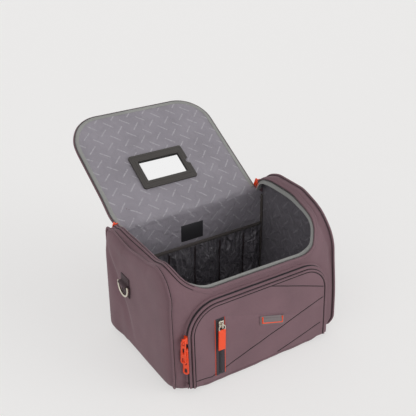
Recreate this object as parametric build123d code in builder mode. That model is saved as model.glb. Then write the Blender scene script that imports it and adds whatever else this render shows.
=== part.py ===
from build123d import *
from math import atan, cos, degrees, radians, sin
import os

# A soft-sided cosmetic case: a domed fabric box whose zipped lid is hinged along the back and folds
# right back. It has a zipped front pocket, a mirror in the lid and gathered pockets inside.
# Millimetres. +X is the case's right, -Y its front, +Z up. The origin is the middle of the base.

# Overall size of the box
seam_x = 151.0
half_depth = 103.0
case_height = 208.0
front_lean = 0.053
front_radius = 60.0
back_radius = 28.0
foot_radius = 8.0
wall = 4.0
lining = 1.0
end_crown = 9.0
end_crown_inset = 24.0
piping_out = 2.4
piping_width = 3.2

# Opening and its zip
hinge_z = 183.0
opening_half = 136.0
opening_corner = 58.0
front_rim_z = 157.0
coil_width = 1.2
tape_width = 6.5
tape_thickness = 1.0
binding_width = 6.0
binding_thickness = 1.4

# Lid, stored leaning back: three panels that bend over the dome as it closes
lid_elevation = 30.0
lid_half = 132.0
lid_rear_length = 35.0
lid_top_length = 126.0
lid_front_length = 64.0
lid_corner = 56.0
lid_skin = 1.0
lid_core = 4.0
lid_total = 5.0
skin_gap = 0.7
core_gap = 2.8
hinge_gap = 1.5
hinge_core_gap = 6.0
lid_binding_width = 6.0

# Mirror on the lid lining
mirror_x = -8.0
mirror_from = 53.0
mirror_frame_size = (103.0, 70.0)
mirror_window = (78.0, 42.0)
mirror_frame_thickness = 3.4
mirror_card = (91.0, 54.0, 1.4)
mirror_clearance = 0.3

# Carrying handle on the outside of the lid
handle_reach = 72.0
handle_drop = 32.0
handle_width = 16.0
handle_thickness = 5.0
handle_standoff = 6.0
handle_pin_radius = 2.2
anchor_tube = 4.0
anchor_size = (24.0, 30.0, 1.6)

# Front pocket, measured across and up the leaning front wall
pocket_half = 131.0
pocket_top = 145.0
pocket_bottom = 8.0
pocket_corner = 50.0
pocket_band = 2.0
pocket_band_depth = 4.0
pocket_coil = 1.2
pocket_zip_gap = 1.6
flap_rim = 1.5
flap_face = 2.5
flap_inset = 8.0
flap_piping = 2.4

# Small upright zip on the pocket's face
small_zip_x = -78.0
small_zip_top = 114.0
small_zip_bottom = 18.0
small_zip_width = 15.0

# Plain badge on the pocket's face, slanted along the seam above it
badge_from = -6.0
badge_to = 40.0
badge_low = 60.5
badge_height = 16.0
badge_rise = 0.3
badge_border = 3.5

# Zip sliders and their pulls
slider_length = 11.0
slider_plate = 1.6
bridge_width = 2.2
bridge_length = 9.0
tunnel = 2.4
tunnel_floor = 0.5
tunnel_roof = 0.8
pull_thickness = 1.6
pull_bar = 1.4
pull_length = 40.0
rear_slider_angle = 22.0
upper_slider_lift = 3.1
slider_spacing = 20.0
pocket_bridge_at = -2.9

# Shoulder-strap rings on the ends
ring_y = 28.0
ring_z = 127.0
ring_half = 15.0
ring_wire = 1.6

# Gathered pockets on the back lining
pocket_row_top = 118.0
elastic_height = 6.0
pocket_row_depth = 11.0
pocket_pitch = 51.0
last_divider_x = 107.0
pocket_cloth = 1.2

lean_angle = degrees(atan(front_lean))
front_wall = Plane(
    origin=(0, -half_depth, 0),
    x_dir=(1, 0, 0),
    z_dir=(0, -cos(radians(lean_angle)), sin(radians(lean_angle))),
)
crest_y = -half_depth + front_lean * case_height
lid_plane = Plane(
    origin=(0, half_depth, hinge_z),
    x_dir=(1, 0, 0),
    z_dir=(0, -sin(radians(lid_elevation)), cos(radians(lid_elevation))),
)
made = {}


def keep(name, part):
    """Labels a finished piece and keeps it for writing."""
    part.label = name
    made[name] = part
    return part


def dome_outline(plane, grow=0.0):
    """The case seen from its end: flat base, leaning front, round front top, upright back."""
    with BuildSketch(plane) as outline:
        with BuildLine():
            FilletPolyline(
                (-half_depth, 0),
                (crest_y, case_height),
                (half_depth, case_height),
                (half_depth, 0),
                radius=[foot_radius, front_radius, back_radius, foot_radius],
                close=True,
            )
        make_face()
        if grow:
            offset(amount=grow)
    return outline.sketch


def dome_block(grow, half_width):
    """A solid with the dome outline, grown or shrunk, across the case."""
    with BuildPart() as block:
        extrude(dome_outline(Plane.YZ, grow), amount=half_width, both=True)
    return block.part


# The front top corner is an arc, and the opening is cut square to its middle
turn = radians(90 - lean_angle)
front_arc_y = crest_y + front_radius * sin(turn / 2) / cos(turn / 2)
front_arc_z = case_height - front_radius
front_cut_tilt = 38.0
cut_plane = Plane(
    origin=(0, front_arc_y, front_arc_z),
    x_dir=(1, 0, 0),
    z_dir=(0, -sin(radians(front_cut_tilt)), cos(radians(front_cut_tilt))),
)
rim_y = front_arc_y - (front_radius**2 - (front_rim_z - front_arc_z) ** 2) ** 0.5
rim_point = cut_plane.to_local_coords(Vector(0, rim_y, front_rim_z))
back_arc_y = half_depth - back_radius
back_arc_z = case_height - back_radius


def opening_cutter(grow):
    """Everything inside the opening's edge, moved outward by grow."""
    half = opening_half + grow
    with BuildPart() as cutter:
        with Locations((0, (front_arc_y - 2 + half_depth + 20) / 2, hinge_z + 30)):
            Box(2 * half, half_depth + 20 - front_arc_y + 2, 60)
        with BuildSketch(cut_plane) as front:
            with Locations((0, rim_point.Y - grow)):
                Rectangle(2 * half, 90 + grow, align=(Align.CENTER, Align.MIN))
            low = front.vertices().group_by(Axis.Y)[0]
            fillet(low, opening_corner + grow)
            with Locations((0, 40)):
                Rectangle(2 * half + 2, 200, align=(Align.CENTER, Align.MIN), mode=Mode.SUBTRACT)
        extrude(amount=90)
    return cutter.part


def opening_band(outer_grow, inner_grow, outward, inward):
    """A strip along the opening's edge, between two outlines and between two depths of the wall."""
    with BuildPart() as band:
        add(dome_block(outward, seam_x - 1))
        add(dome_block(inward, seam_x), mode=Mode.SUBTRACT)
        add(opening_cutter(outer_grow), mode=Mode.INTERSECT)
        add(opening_cutter(inner_grow), mode=Mode.SUBTRACT)
    return band.part


# Cuts that part the wrapped strip, the base and the back from one another
base_flat_y = half_depth - foot_radius


def cut_base_and_back(depth, top):
    """Inside a part: takes away the base and the back wall of a wrapped layer."""
    with Locations((0, 0, depth / 2)):
        Box(2 * seam_x + 20, 2 * base_flat_y, depth, mode=Mode.SUBTRACT)
    with Locations((0, half_depth, top / 2)):
        Box(2 * seam_x + 20, 2 * foot_radius, top, mode=Mode.SUBTRACT)


def build_shell():
    """Outer fabric with its foam: wrapped strip, back, base and the two padded ends."""
    with BuildPart() as gusset:
        add(dome_block(0, seam_x))
        add(dome_block(-wall, seam_x + 1), mode=Mode.SUBTRACT)
        add(opening_cutter(0), mode=Mode.SUBTRACT)
        cut_base_and_back(wall, hinge_z)
    keep("gusset", gusset.part)

    with BuildPart() as back_panel:
        add(dome_block(0, seam_x))
        add(dome_block(-wall, seam_x + 1), mode=Mode.SUBTRACT)
        with Locations((0, half_depth, hinge_z / 2)):
            Box(2 * seam_x + 20, 2 * foot_radius, hinge_z, mode=Mode.INTERSECT)
    keep("back_panel", back_panel.part)

    with BuildPart() as base_panel:
        Box(2 * seam_x, 2 * base_flat_y, wall, align=(Align.CENTER, Align.CENTER, Align.MIN))
    keep("base_panel", base_panel.part)

    for side, name in ((-1, "left"), (1, "right")):
        rim = Plane(origin=(side * seam_x, 0, 0), x_dir=(0, side, 0), z_dir=(side, 0, 0))
        rim_outline = Plane.YZ.offset(side * seam_x)
        face_outline = Plane.YZ.offset(side * (seam_x + end_crown))
        with BuildPart() as end_panel:
            loft([dome_outline(rim_outline).face(), dome_outline(face_outline, -end_crown_inset).face()])
        keep(name + "_end_panel", end_panel.part)

        with BuildPart() as piping:
            start = Plane.YZ.offset(side * (seam_x + piping_width / 2) - piping_width / 2)
            extrude(dome_outline(start, piping_out), amount=piping_width)
            extrude(dome_outline(start, 0.01), amount=piping_width, mode=Mode.SUBTRACT)
            with Locations((rim.origin.X, 0, 150)):
                Box(20, 2 * half_depth + 20, 300, mode=Mode.INTERSECT)
        keep(name + "_piping", piping.part)


def build_lining():
    """The sewn lining, its bindings and the stiff board under the floor."""
    with BuildPart() as gusset_lining:
        add(dome_block(-wall, seam_x - lining))
        add(dome_block(-wall - lining, seam_x + 1), mode=Mode.SUBTRACT)
        add(opening_cutter(0), mode=Mode.SUBTRACT)
        cut_base_and_back(wall + lining, hinge_z)
    keep("gusset_lining", gusset_lining.part)

    inner_y = half_depth - wall
    with BuildPart() as back_lining:
        with Locations((0, inner_y - lining / 2, (back_arc_z + wall + foot_radius) / 2)):
            Box(2 * (seam_x - lining), lining, back_arc_z - wall - foot_radius)
    keep("back_lining", back_lining.part)

    with BuildPart() as base_board:
        with Locations((0, 0, wall + 1.0)):
            Box(2 * seam_x - 8, 2 * base_flat_y - 8, 2.0)
    keep("base_board", base_board.part)

    with BuildPart() as base_lining:
        with Locations((0, 0, wall + 2.0 + lining / 2)):
            Box(2 * seam_x - 2 * lining, 2 * base_flat_y - 4, lining)
    keep("base_lining", base_lining.part)

    for side, name in ((-1, "left"), (1, "right")):
        start = seam_x if side > 0 else -seam_x + lining
        with BuildPart() as end_lining:
            extrude(dome_outline(Plane.YZ.offset(start), -wall - lining), amount=-lining)
        keep(name + "_lining", end_lining.part)

    with BuildPart() as corner_bindings:
        for side in (-1, 1):
            with Locations((side * (seam_x - lining - 2.0), inner_y - lining - 1.0, 90)):
                Box(4.0, 2.0, 160)
    keep("corner_bindings", corner_bindings.part)

    keep("rim_binding", opening_band(binding_width, 0, -wall - lining, -wall - lining - binding_thickness))


def build_main_zip():
    """The case's half of the main zip: tape on the outside and coil along the opening's edge."""
    keep("main_zip_tape", opening_band(tape_width, 0, tape_thickness, 0))
    keep("main_zip_coil", opening_band(0, -coil_width, -1.0, -3.0))


def build_back_pockets():
    """Gathered pockets on the back lining, their elastic edge and the sewn label above."""
    lining_y = half_depth - wall - lining
    front_y = lining_y - pocket_row_depth
    dividers = [last_divider_x - k * pocket_pitch for k in range(5)]
    stops = [seam_x - lining - 5.0] + dividers + [-seam_x + lining + 5.0]
    route = [(stops[0], lining_y - pocket_cloth / 2)]
    for right, left in zip(stops, stops[1:]):
        route.append((right - 6, front_y))
        route.append((left + 6, front_y))
        route.append((left, lining_y - pocket_cloth / 2))
    low_z = wall + 2.0 + lining
    with BuildPart() as gathered_pockets:
        with BuildSketch(Plane.XY.offset(low_z)):
            with BuildLine():
                Polyline(*route)
            trace(line_width=pocket_cloth)
            with Locations((0, lining_y + 5)):
                Rectangle(2 * seam_x, 10, mode=Mode.SUBTRACT)
        extrude(amount=pocket_row_top - elastic_height - low_z)
    keep("gathered_pockets", gathered_pockets.part)

    with BuildPart() as pocket_elastic:
        with BuildSketch(Plane.XY.offset(pocket_row_top - elastic_height)):
            with BuildLine():
                Polyline(*route)
            trace(line_width=pocket_cloth)
            with Locations((0, lining_y + 5)):
                Rectangle(2 * seam_x, 10, mode=Mode.SUBTRACT)
        extrude(amount=elastic_height)
    keep("pocket_elastic", pocket_elastic.part)

    with BuildPart() as lining_label:
        with Locations((1.5, lining_y - 0.4, 138)):
            Box(43, 0.8, 31)
    keep("lining_label", lining_label.part)


def lid_slab(start, end, low, high, rounded=False, half=lid_half, corner=lid_corner):
    """A slab of the lid between two distances from the hinge and two depths from the outer skin."""
    with BuildPart() as slab:
        with BuildSketch(lid_plane.offset(low)) as outline:
            with Locations((0, start)):
                Rectangle(2 * half, end - start, align=(Align.CENTER, Align.MIN))
            if rounded:
                fillet(outline.vertices().group_by(Axis.Y)[-1], corner)
        extrude(amount=high - low)
    return slab.part


def build_lid():
    """Three lid panels with their linings, grey edge binding and zip coil."""
    rear_end = lid_rear_length
    top_end = rear_end + lid_top_length
    front_end = top_end + lid_front_length

    with BuildPart() as lid_rear_panel:
        add(lid_slab(hinge_gap, rear_end - skin_gap, 0, lid_skin))
        add(lid_slab(hinge_core_gap, rear_end - core_gap, 0, lid_core))
    keep("lid_rear_panel", lid_rear_panel.part)
    keep("lid_rear_lining", lid_slab(hinge_core_gap, rear_end - core_gap, lid_core, lid_total))

    with BuildPart() as lid_top_panel:
        add(lid_slab(rear_end + skin_gap, top_end - skin_gap, 0, lid_skin))
        add(lid_slab(rear_end + core_gap, top_end - core_gap, 0, lid_core))
    keep("lid_top_panel", lid_top_panel.part)
    keep("lid_top_lining", lid_slab(rear_end + core_gap, top_end - core_gap, lid_core, lid_total))

    with BuildPart() as lid_front_panel:
        add(lid_slab(top_end + skin_gap, front_end, 0, lid_skin, rounded=True))
        add(lid_slab(top_end + core_gap, front_end, 0, lid_core, rounded=True))
    keep("lid_front_panel", lid_front_panel.part)
    keep("lid_front_lining", lid_slab(top_end + core_gap, front_end, lid_core, lid_total, rounded=True))

    inner_half = lid_half - lid_binding_width
    inner_corner = lid_corner - lid_binding_width
    binding_top = lid_total + 1.0
    with BuildPart() as lid_top_binding:
        add(lid_slab(rear_end + core_gap, top_end - core_gap, lid_total, binding_top))
        add(
            lid_slab(rear_end, top_end, lid_total, binding_top, half=inner_half),
            mode=Mode.SUBTRACT,
        )
    keep("lid_top_binding", lid_top_binding.part)

    with BuildPart() as lid_front_binding:
        add(lid_slab(top_end + core_gap, front_end, lid_total, binding_top, rounded=True))
        add(
            lid_slab(
                top_end,
                front_end - lid_binding_width,
                lid_total,
                binding_top,
                rounded=True,
                half=inner_half,
                corner=inner_corner,
            ),
            mode=Mode.SUBTRACT,
        )
    keep("lid_front_binding", lid_front_binding.part)

    coil_half = lid_half + coil_width
    with BuildPart() as lid_top_coil:
        add(lid_slab(rear_end + core_gap + 12, top_end - core_gap, 1.5, 3.5, half=coil_half))
        add(lid_slab(rear_end, top_end, 1.5, 3.5), mode=Mode.SUBTRACT)
    keep("lid_top_coil", lid_top_coil.part)

    with BuildPart() as lid_front_coil:
        add(
            lid_slab(
                top_end + core_gap,
                front_end + coil_width,
                1.5,
                3.5,
                rounded=True,
                half=coil_half,
                corner=lid_corner + coil_width,
            )
        )
        add(lid_slab(top_end, front_end, 1.5, 3.5, rounded=True), mode=Mode.SUBTRACT)
    keep("lid_front_coil", lid_front_coil.part)


def build_mirror():
    """A frame sewn to the lid lining, and a mirror card that slides out of it to the right."""
    middle = mirror_from + mirror_frame_size[1] / 2
    slot_height = mirror_card[1] + 2 * mirror_clearance
    slot_depth = mirror_card[2] + 2 * mirror_clearance
    slot_left = mirror_x - mirror_card[0] / 2 - 1.0
    with BuildPart() as mirror_frame:
        with BuildSketch(lid_plane.offset(lid_total)):
            with Locations((mirror_x, middle)):
                RectangleRounded(*mirror_frame_size, 4)
        extrude(amount=mirror_frame_thickness)
        with BuildSketch(lid_plane.offset(lid_total)):
            with Locations((slot_left, middle)):
                Rectangle(150, slot_height, align=(Align.MIN, Align.CENTER))
        extrude(amount=slot_depth, mode=Mode.SUBTRACT)
        with BuildSketch(lid_plane.offset(lid_total)):
            with Locations((mirror_x, middle)):
                RectangleRounded(*mirror_window, 1.5)
            with Locations((mirror_x + mirror_frame_size[0] / 2, middle)):
                Circle(5.5)
        extrude(amount=mirror_frame_thickness, mode=Mode.SUBTRACT)
    keep("mirror_frame", mirror_frame.part)

    with BuildPart() as mirror_glass:
        with BuildSketch(lid_plane.offset(lid_total + mirror_clearance)):
            with Locations((mirror_x, middle)):
                RectangleRounded(mirror_card[0], mirror_card[1], 2)
        extrude(amount=mirror_card[2])
    keep("mirror_glass", mirror_glass.part)


def build_handle():
    """A padded webbing handle on the lid's outside, hanging straight down from two anchors."""
    along = lid_rear_length + lid_top_length / 2
    pivot = lid_plane.from_local_coords(Vector(0, along, -handle_standoff))
    arch_plane = Plane(origin=pivot, x_dir=(1, 0, 0), z_dir=(0, -1, 0))
    with BuildPart() as handle:
        with BuildSketch(arch_plane):
            with BuildLine():
                FilletPolyline(
                    (-handle_reach, 0),
                    (-handle_reach + 14, -handle_drop),
                    (handle_reach - 14, -handle_drop),
                    (handle_reach, 0),
                    radius=18,
                )
            trace(line_width=handle_thickness)
        extrude(amount=handle_width / 2, both=True)
        for side in (-1, 1):
            with Locations((side * (handle_reach + 6), pivot.Y, pivot.Z)):
                Cylinder(handle_pin_radius, 16, rotation=(0, 90, 0))
        fillet(handle.edges().filter_by(GeomType.LINE).filter_by(Axis.X).sort_by(Axis.Z)[:4], 1.5)
    keep("handle", handle.part)

    with BuildPart() as handle_anchors:
        for side in (-1, 1):
            anchor_x = side * (handle_reach + 4 + anchor_size[0] / 2)
            with BuildSketch(lid_plane.offset(-anchor_size[2])):
                with Locations((anchor_x, along)):
                    RectangleRounded(anchor_size[0], anchor_size[1], 3)
            extrude(amount=anchor_size[2])
            with Locations((side * (handle_reach + 4 + 5), pivot.Y, pivot.Z)):
                Cylinder(anchor_tube + 0.6, 10, rotation=(0, 90, 0))
        for side in (-1, 1):
            with Locations((side * (handle_reach + 4 + 5), pivot.Y, pivot.Z)):
                Cylinder(handle_pin_radius + 0.4, 12, rotation=(0, 90, 0), mode=Mode.SUBTRACT)
    keep("handle_anchors", handle_anchors.part)


def zip_slider(plane, across, inner_across, inner_depth, web, plate_at, bridge_at, lift=0.0):
    """A slider: outer plate, inner plate, the web between the two coils and a bridge for its pull.

    The plane lies on the surface that the slider runs on, with x along its travel and z outward.
    """
    with BuildPart(plane) as slider:
        with Locations((0, sum(across) / 2, plate_at + slider_plate / 2)):
            Box(slider_length, across[1] - across[0], slider_plate)
        with Locations((0, sum(inner_across) / 2, -inner_depth - 0.6)):
            Box(slider_length, inner_across[1] - inner_across[0], 1.2)
        with Locations((0, web, (plate_at - inner_depth) / 2)):
            Box(slider_length, 0.7, plate_at + inner_depth)
        top = plate_at + slider_plate
        height = lift + tunnel_floor + tunnel + tunnel_roof
        with Locations((0, bridge_at, top + height / 2)):
            Box(bridge_length, bridge_width, height)
        with Locations((0, bridge_at, top + lift + tunnel_floor + tunnel / 2)):
            Box(tunnel, bridge_width + 1, tunnel, mode=Mode.SUBTRACT)
    return slider.part


def bar_height(plate_at, lift=0.0):
    """How far above the surface the pull's bar lies in the slider's bridge."""
    return plate_at + slider_plate + lift + tunnel_floor + tunnel / 2


def zip_pull(plane, length):
    """A moulded pull: a bar through the bridge, an eye, a grip slot and a wider loop at the end."""
    with BuildPart(plane) as pull:
        with BuildSketch(plane.offset(-pull_thickness / 2)) as outline:
            with Locations((2.4 - pull_bar / 2, 0)):
                Circle(3.1)
            with Locations((length - 4.6, 0)):
                Circle(4.0)
            make_hull()
            with Locations((-pull_bar / 2, 0)):
                Rectangle(10, 12, align=(Align.MAX, Align.CENTER), mode=Mode.SUBTRACT)
            with Locations((pull_bar / 2 + 3.1, 0)):
                Rectangle(6.2, bridge_width + 1.3, mode=Mode.SUBTRACT)
            with Locations((length * 0.42, 0)):
                SlotOverall(11, 2.6, mode=Mode.SUBTRACT)
            with Locations((length - 7.2, 0)):
                SlotOverall(8.6, 3.8, mode=Mode.SUBTRACT)
        extrude(amount=pull_thickness)
    return pull.part


rear_slider_across = (132.4, 140.4)
rear_slider_inner = (132.5, 135.5)
rear_slider_web = 134.0
rear_slider_plate_at = 1.9
rear_slider_inner_depth = 4.0


def build_main_sliders():
    """The main zip's two sliders, open and parked at the hinge, with their pulls hanging behind."""
    angle = radians(rear_slider_angle)
    outward = (0, cos(angle), sin(angle))
    travel = (0, -sin(angle), cos(angle))
    spot = (
        0,
        back_arc_y + back_radius * cos(angle),
        back_arc_z + back_radius * sin(angle),
    )
    for side, name in ((-1, "left"), (1, "right")):
        plane = Plane(origin=spot, x_dir=travel, z_dir=outward)
        across = sorted(side * value for value in rear_slider_across)
        inner = sorted(side * value for value in rear_slider_inner)
        middle = sum(across) / 2
        slider = zip_slider(
            plane,
            across,
            inner,
            rear_slider_inner_depth,
            side * rear_slider_web,
            rear_slider_plate_at,
            middle,
        )
        keep(name + "_zip_slider", slider)
        bar = plane.from_local_coords(Vector(0, middle, bar_height(rear_slider_plate_at)))
        resting = Plane(origin=bar, x_dir=(0, sin(angle), -cos(angle)), z_dir=outward)
        keep(name + "_zip_pull", zip_pull(resting, pull_length))


def pocket_outline(plane, inset=0.0):
    """The front pocket's outline on the wall, open at the floor, moved inward by inset."""
    with BuildSketch(plane) as outline:
        with Locations((0, pocket_bottom)):
            Rectangle(
                2 * (pocket_half - inset),
                pocket_top - pocket_bottom - inset,
                align=(Align.CENTER, Align.MIN),
            )
        fillet(outline.vertices().group_by(Axis.Y)[-1], pocket_corner - inset)
    return outline.sketch


def pocket_strip(start, depth, outer_inset, inner_inset):
    """A strip that follows the pocket's outline up one side, over the top and down the other."""
    with BuildPart() as strip:
        extrude(pocket_outline(front_wall.offset(start), outer_inset), amount=depth)
        with BuildSketch(front_wall.offset(start)) as core:
            with Locations((0, -20)):
                Rectangle(
                    2 * (pocket_half - inner_inset),
                    pocket_top + 20 - inner_inset,
                    align=(Align.CENTER, Align.MIN),
                )
            fillet(core.vertices().group_by(Axis.Y)[-1], pocket_corner - inner_inset)
        extrude(amount=depth, mode=Mode.SUBTRACT)
    return strip.part


flap_at = pocket_band_depth + 2 * pocket_coil + pocket_zip_gap


def build_front_pocket():
    """The front pocket: a band on the wall, the two halves of its zip, and the flap they free."""
    keep("pocket_gusset", pocket_strip(0, pocket_band_depth, 0, pocket_band))
    keep("pocket_zip_coil", pocket_strip(pocket_band_depth, pocket_coil, 0.4, pocket_band))
    keep("flap_zip_coil", pocket_strip(flap_at - pocket_coil, pocket_coil, 0.4, pocket_band))

    with BuildPart() as flap_panel:
        extrude(pocket_outline(front_wall.offset(flap_at), 0.4), amount=flap_rim)
        extrude(
            pocket_outline(front_wall.offset(flap_at + flap_rim), flap_inset),
            amount=flap_face,
        )
    keep("flap_panel", flap_panel.part)
    keep(
        "flap_piping",
        pocket_strip(flap_at + flap_rim, flap_face + 0.6, flap_inset - flap_piping, flap_inset),
    )

    with BuildPart() as pocket_zip_tabs:
        for side in (-1, 1):
            with BuildSketch(front_wall.offset(0)):
                with Locations((side * (pocket_half + 1.2), pocket_bottom + 4)):
                    Rectangle(2.2, 8)
            extrude(amount=7)
    keep("pocket_zip_tabs", pocket_zip_tabs.part)


def badge_outline(plane, border):
    """The badge's slanted outline with upright sides, moved inward by border."""
    left = badge_from + border
    right = badge_to - border
    low = badge_low + border
    high = badge_low + badge_height - border
    corners = [
        (left, low + badge_rise * (badge_to - left)),
        (right, low + badge_rise * (badge_to - right)),
        (right, high + badge_rise * (badge_to - right)),
        (left, high + badge_rise * (badge_to - left)),
    ]
    with BuildSketch(plane) as outline:
        with BuildLine():
            FilletPolyline(*corners, radius=1.0, close=True)
        make_face()
    return outline.sketch


def build_flap_details():
    """The upright zip on the flap, its two trims and the name badge."""
    face = flap_at + flap_rim + flap_face
    length = small_zip_top - small_zip_bottom
    middle = (small_zip_top + small_zip_bottom) / 2
    with BuildPart() as small_zip_tape:
        with BuildSketch(front_wall.offset(face)):
            with Locations((small_zip_x, middle)):
                Rectangle(small_zip_width, length)
        extrude(amount=0.6)
    keep("small_zip_tape", small_zip_tape.part)

    with BuildPart() as small_zip_coil:
        with BuildSketch(front_wall.offset(face + 0.6)):
            with Locations((small_zip_x, middle)):
                Rectangle(4.6, length - 3)
        extrude(amount=1.4)
    keep("small_zip_coil", small_zip_coil.part)

    with BuildPart() as small_zip_trims:
        for side in (-1, 1):
            with BuildSketch(front_wall.offset(face)):
                with Locations((small_zip_x + side * (small_zip_width / 2 + 0.8), middle)):
                    Rectangle(1.5, length)
            extrude(amount=1.5)
    keep("small_zip_trims", small_zip_trims.part)

    with BuildPart() as badge_plate:
        extrude(badge_outline(front_wall.offset(face), 0), amount=1.4)
    keep("badge_plate", badge_plate.part)

    with BuildPart() as badge_insert:
        extrude(badge_outline(front_wall.offset(face + 1.4), badge_border), amount=0.8)
    keep("badge_insert", badge_insert.part)


pocket_slider_web = pocket_band_depth + pocket_coil + pocket_zip_gap / 2


def build_pocket_sliders():
    """Two sliders that meet on the left run of the pocket zip, one above the other."""
    up = front_wall.y_dir
    places = (
        ("upper", pocket_top - pocket_corner, upper_slider_lift),
        ("lower", pocket_top - pocket_corner - slider_spacing, 0.0),
    )
    for name, height, lift in places:
        spot = front_wall.from_local_coords(Vector(-pocket_half, height, pocket_slider_web))
        plane = Plane(origin=spot, x_dir=up, z_dir=(-1, 0, 0))
        slider = zip_slider(plane, (-4.2, 3.4), (-1.6, 3.4), 3.2, 0, 1.0, pocket_bridge_at, lift)
        keep(name + "_pocket_slider", slider)
        bar = plane.from_local_coords(Vector(0, pocket_bridge_at, bar_height(1.0, lift)))
        hanging = Plane(origin=bar, x_dir=(0, 0, -1), z_dir=(-1, 0, 0))
        keep(name + "_pocket_pull", zip_pull(hanging, pull_length))


def build_small_slider():
    """The bright slider of the upright zip with a wire ring and a folded ribbon on it."""
    face = flap_at + flap_rim + flap_face
    coil_top = face + 2.0
    spot = front_wall.from_local_coords(Vector(small_zip_x, small_zip_top - 8.5, coil_top))
    plane = Plane(origin=spot, x_dir=front_wall.y_dir, z_dir=front_wall.z_dir)
    ring_lift = 0.6
    with BuildPart(plane) as small_slider:
        with Locations((0, 0, 0.5 + slider_plate / 2)):
            Box(slider_length, 8, slider_plate)
        for side in (-1, 1):
            with Locations((0, side * 3.3, 0.1)):
                Box(slider_length, 1.2, 2.0)
        top = 0.5 + slider_plate
        height = ring_lift + tunnel_floor + tunnel + tunnel_roof
        with Locations((0, 0, top + height / 2)):
            Box(bridge_length, bridge_width, height)
        with Locations((0, 0, top + ring_lift + tunnel_floor + tunnel / 2)):
            Box(tunnel, bridge_width + 1, tunnel, mode=Mode.SUBTRACT)
    keep("small_slider", small_slider.part)

    wire = 0.75
    ring_radius = 5.4
    bar = plane.from_local_coords(Vector(0, 0, bar_height(0.5, ring_lift)))
    ring_plane = Plane(origin=bar - Vector(0, 0, ring_radius), x_dir=(1, 0, 0), z_dir=(0, -1, 0))
    with BuildPart() as small_pull_ring:
        with BuildSketch(ring_plane.offset(-wire)):
            Circle(ring_radius + wire)
            Circle(ring_radius - wire, mode=Mode.SUBTRACT)
        extrude(amount=2 * wire)
        fillet(small_pull_ring.edges(), 0.4)
    keep("small_pull_ring", small_pull_ring.part)

    ribbon_top = bar - Vector(0, 0, 2 * ring_radius)
    ribbon_plane = Plane(origin=ribbon_top, x_dir=(1, 0, 0), z_dir=(0, -1, 0))
    with BuildPart() as small_pull_ribbon:
        with BuildSketch(ribbon_plane.offset(-1.5)):
            with Locations((0, 2.4)):
                Rectangle(11, 36, align=(Align.CENTER, Align.MAX))
        extrude(amount=3.0)
        with BuildSketch(ring_plane.offset(-wire - 0.15)):
            Circle(ring_radius + wire + 0.15)
            Circle(ring_radius - wire - 0.15, mode=Mode.SUBTRACT)
        extrude(amount=2 * wire + 0.3, mode=Mode.SUBTRACT)
    keep("small_pull_ribbon", small_pull_ribbon.part)


def build_strap_rings():
    """Webbing tabs on both ends, each holding a D-shaped wire ring for a shoulder strap."""
    face_x = seam_x + end_crown
    tube_x = face_x + 4.9
    with BuildPart() as ring_tabs:
        for side in (-1, 1):
            with Locations((side * (face_x + 0.8), ring_y, ring_z - 3)):
                Box(1.6, 26, 34)
            with Locations((side * (face_x + 2.4), ring_y, ring_z + 2.4)):
                Box(4.8, 24, 1.4)
            with Locations((side * tube_x, ring_y, ring_z)):
                Cylinder(3.1, 24, rotation=(90, 0, 0))
        for side in (-1, 1):
            with Locations((side * tube_x, ring_y, ring_z)):
                Cylinder(ring_wire + 0.3, 26, rotation=(90, 0, 0), mode=Mode.SUBTRACT)
    keep("ring_tabs", ring_tabs.part)

    for side, name in ((-1, "left"), (1, "right")):
        plane = Plane(origin=(side * tube_x - ring_wire, ring_y, ring_z), x_dir=(0, 1, 0), z_dir=(1, 0, 0))
        with BuildPart() as d_ring:
            with BuildSketch(plane) as outline:
                with BuildLine():
                    Line((-ring_half, 0), (ring_half, 0))
                    ThreePointArc((ring_half, 0), (0, -ring_half * 1.25), (-ring_half, 0))
                make_face()
                offset(amount=ring_wire)
                with BuildLine():
                    Line((-ring_half, 0), (ring_half, 0))
                    ThreePointArc((ring_half, 0), (0, -ring_half * 1.25), (-ring_half, 0))
                hole = make_face(mode=Mode.PRIVATE)
                add(offset(hole, amount=-ring_wire, mode=Mode.PRIVATE), mode=Mode.SUBTRACT)
            extrude(amount=2 * ring_wire)
            fillet(d_ring.edges(), 1.1)
        keep(name + "_d_ring", d_ring.part)


build_shell()
build_lining()
build_main_zip()
build_back_pockets()
build_lid()
build_mirror()
build_handle()
build_main_sliders()
build_front_pocket()
build_flap_details()
build_pocket_sliders()
build_small_slider()
build_strap_rings()

os.makedirs("parts", exist_ok=True)
for node_name, piece in made.items():
    export_step(piece, "parts/" + node_name + ".step")
print(len(made), "pieces written")
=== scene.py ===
"""A soft-sided cosmetic case with its lid folded back, dressed in cloth, zips, pulls and fittings."""

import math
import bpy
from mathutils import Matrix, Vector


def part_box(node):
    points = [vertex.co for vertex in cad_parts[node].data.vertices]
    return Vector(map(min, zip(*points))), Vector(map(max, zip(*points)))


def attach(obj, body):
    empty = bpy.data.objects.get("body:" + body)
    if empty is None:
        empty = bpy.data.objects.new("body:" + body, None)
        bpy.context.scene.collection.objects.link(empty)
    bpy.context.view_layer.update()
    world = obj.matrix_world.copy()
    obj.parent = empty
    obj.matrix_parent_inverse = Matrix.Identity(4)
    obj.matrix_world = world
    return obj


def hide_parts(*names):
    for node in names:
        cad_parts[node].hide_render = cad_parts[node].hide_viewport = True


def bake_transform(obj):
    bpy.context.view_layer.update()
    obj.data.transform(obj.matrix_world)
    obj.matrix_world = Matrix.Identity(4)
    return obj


bl_info = {
    "name": "Soft cosmetic case",
    "version": (1, 0, 0),
    "blender": (4, 5, 0),
    "location": "3D View > Sidebar > Case",
    "description": "Makes the cloth, zips and fittings of a soft-sided cosmetic case over its plain frame",
    "category": "Object",
}

import bpy
from bpy.props import FloatProperty, FloatVectorProperty, PointerProperty
from mathutils import Matrix, Vector, noise

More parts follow.
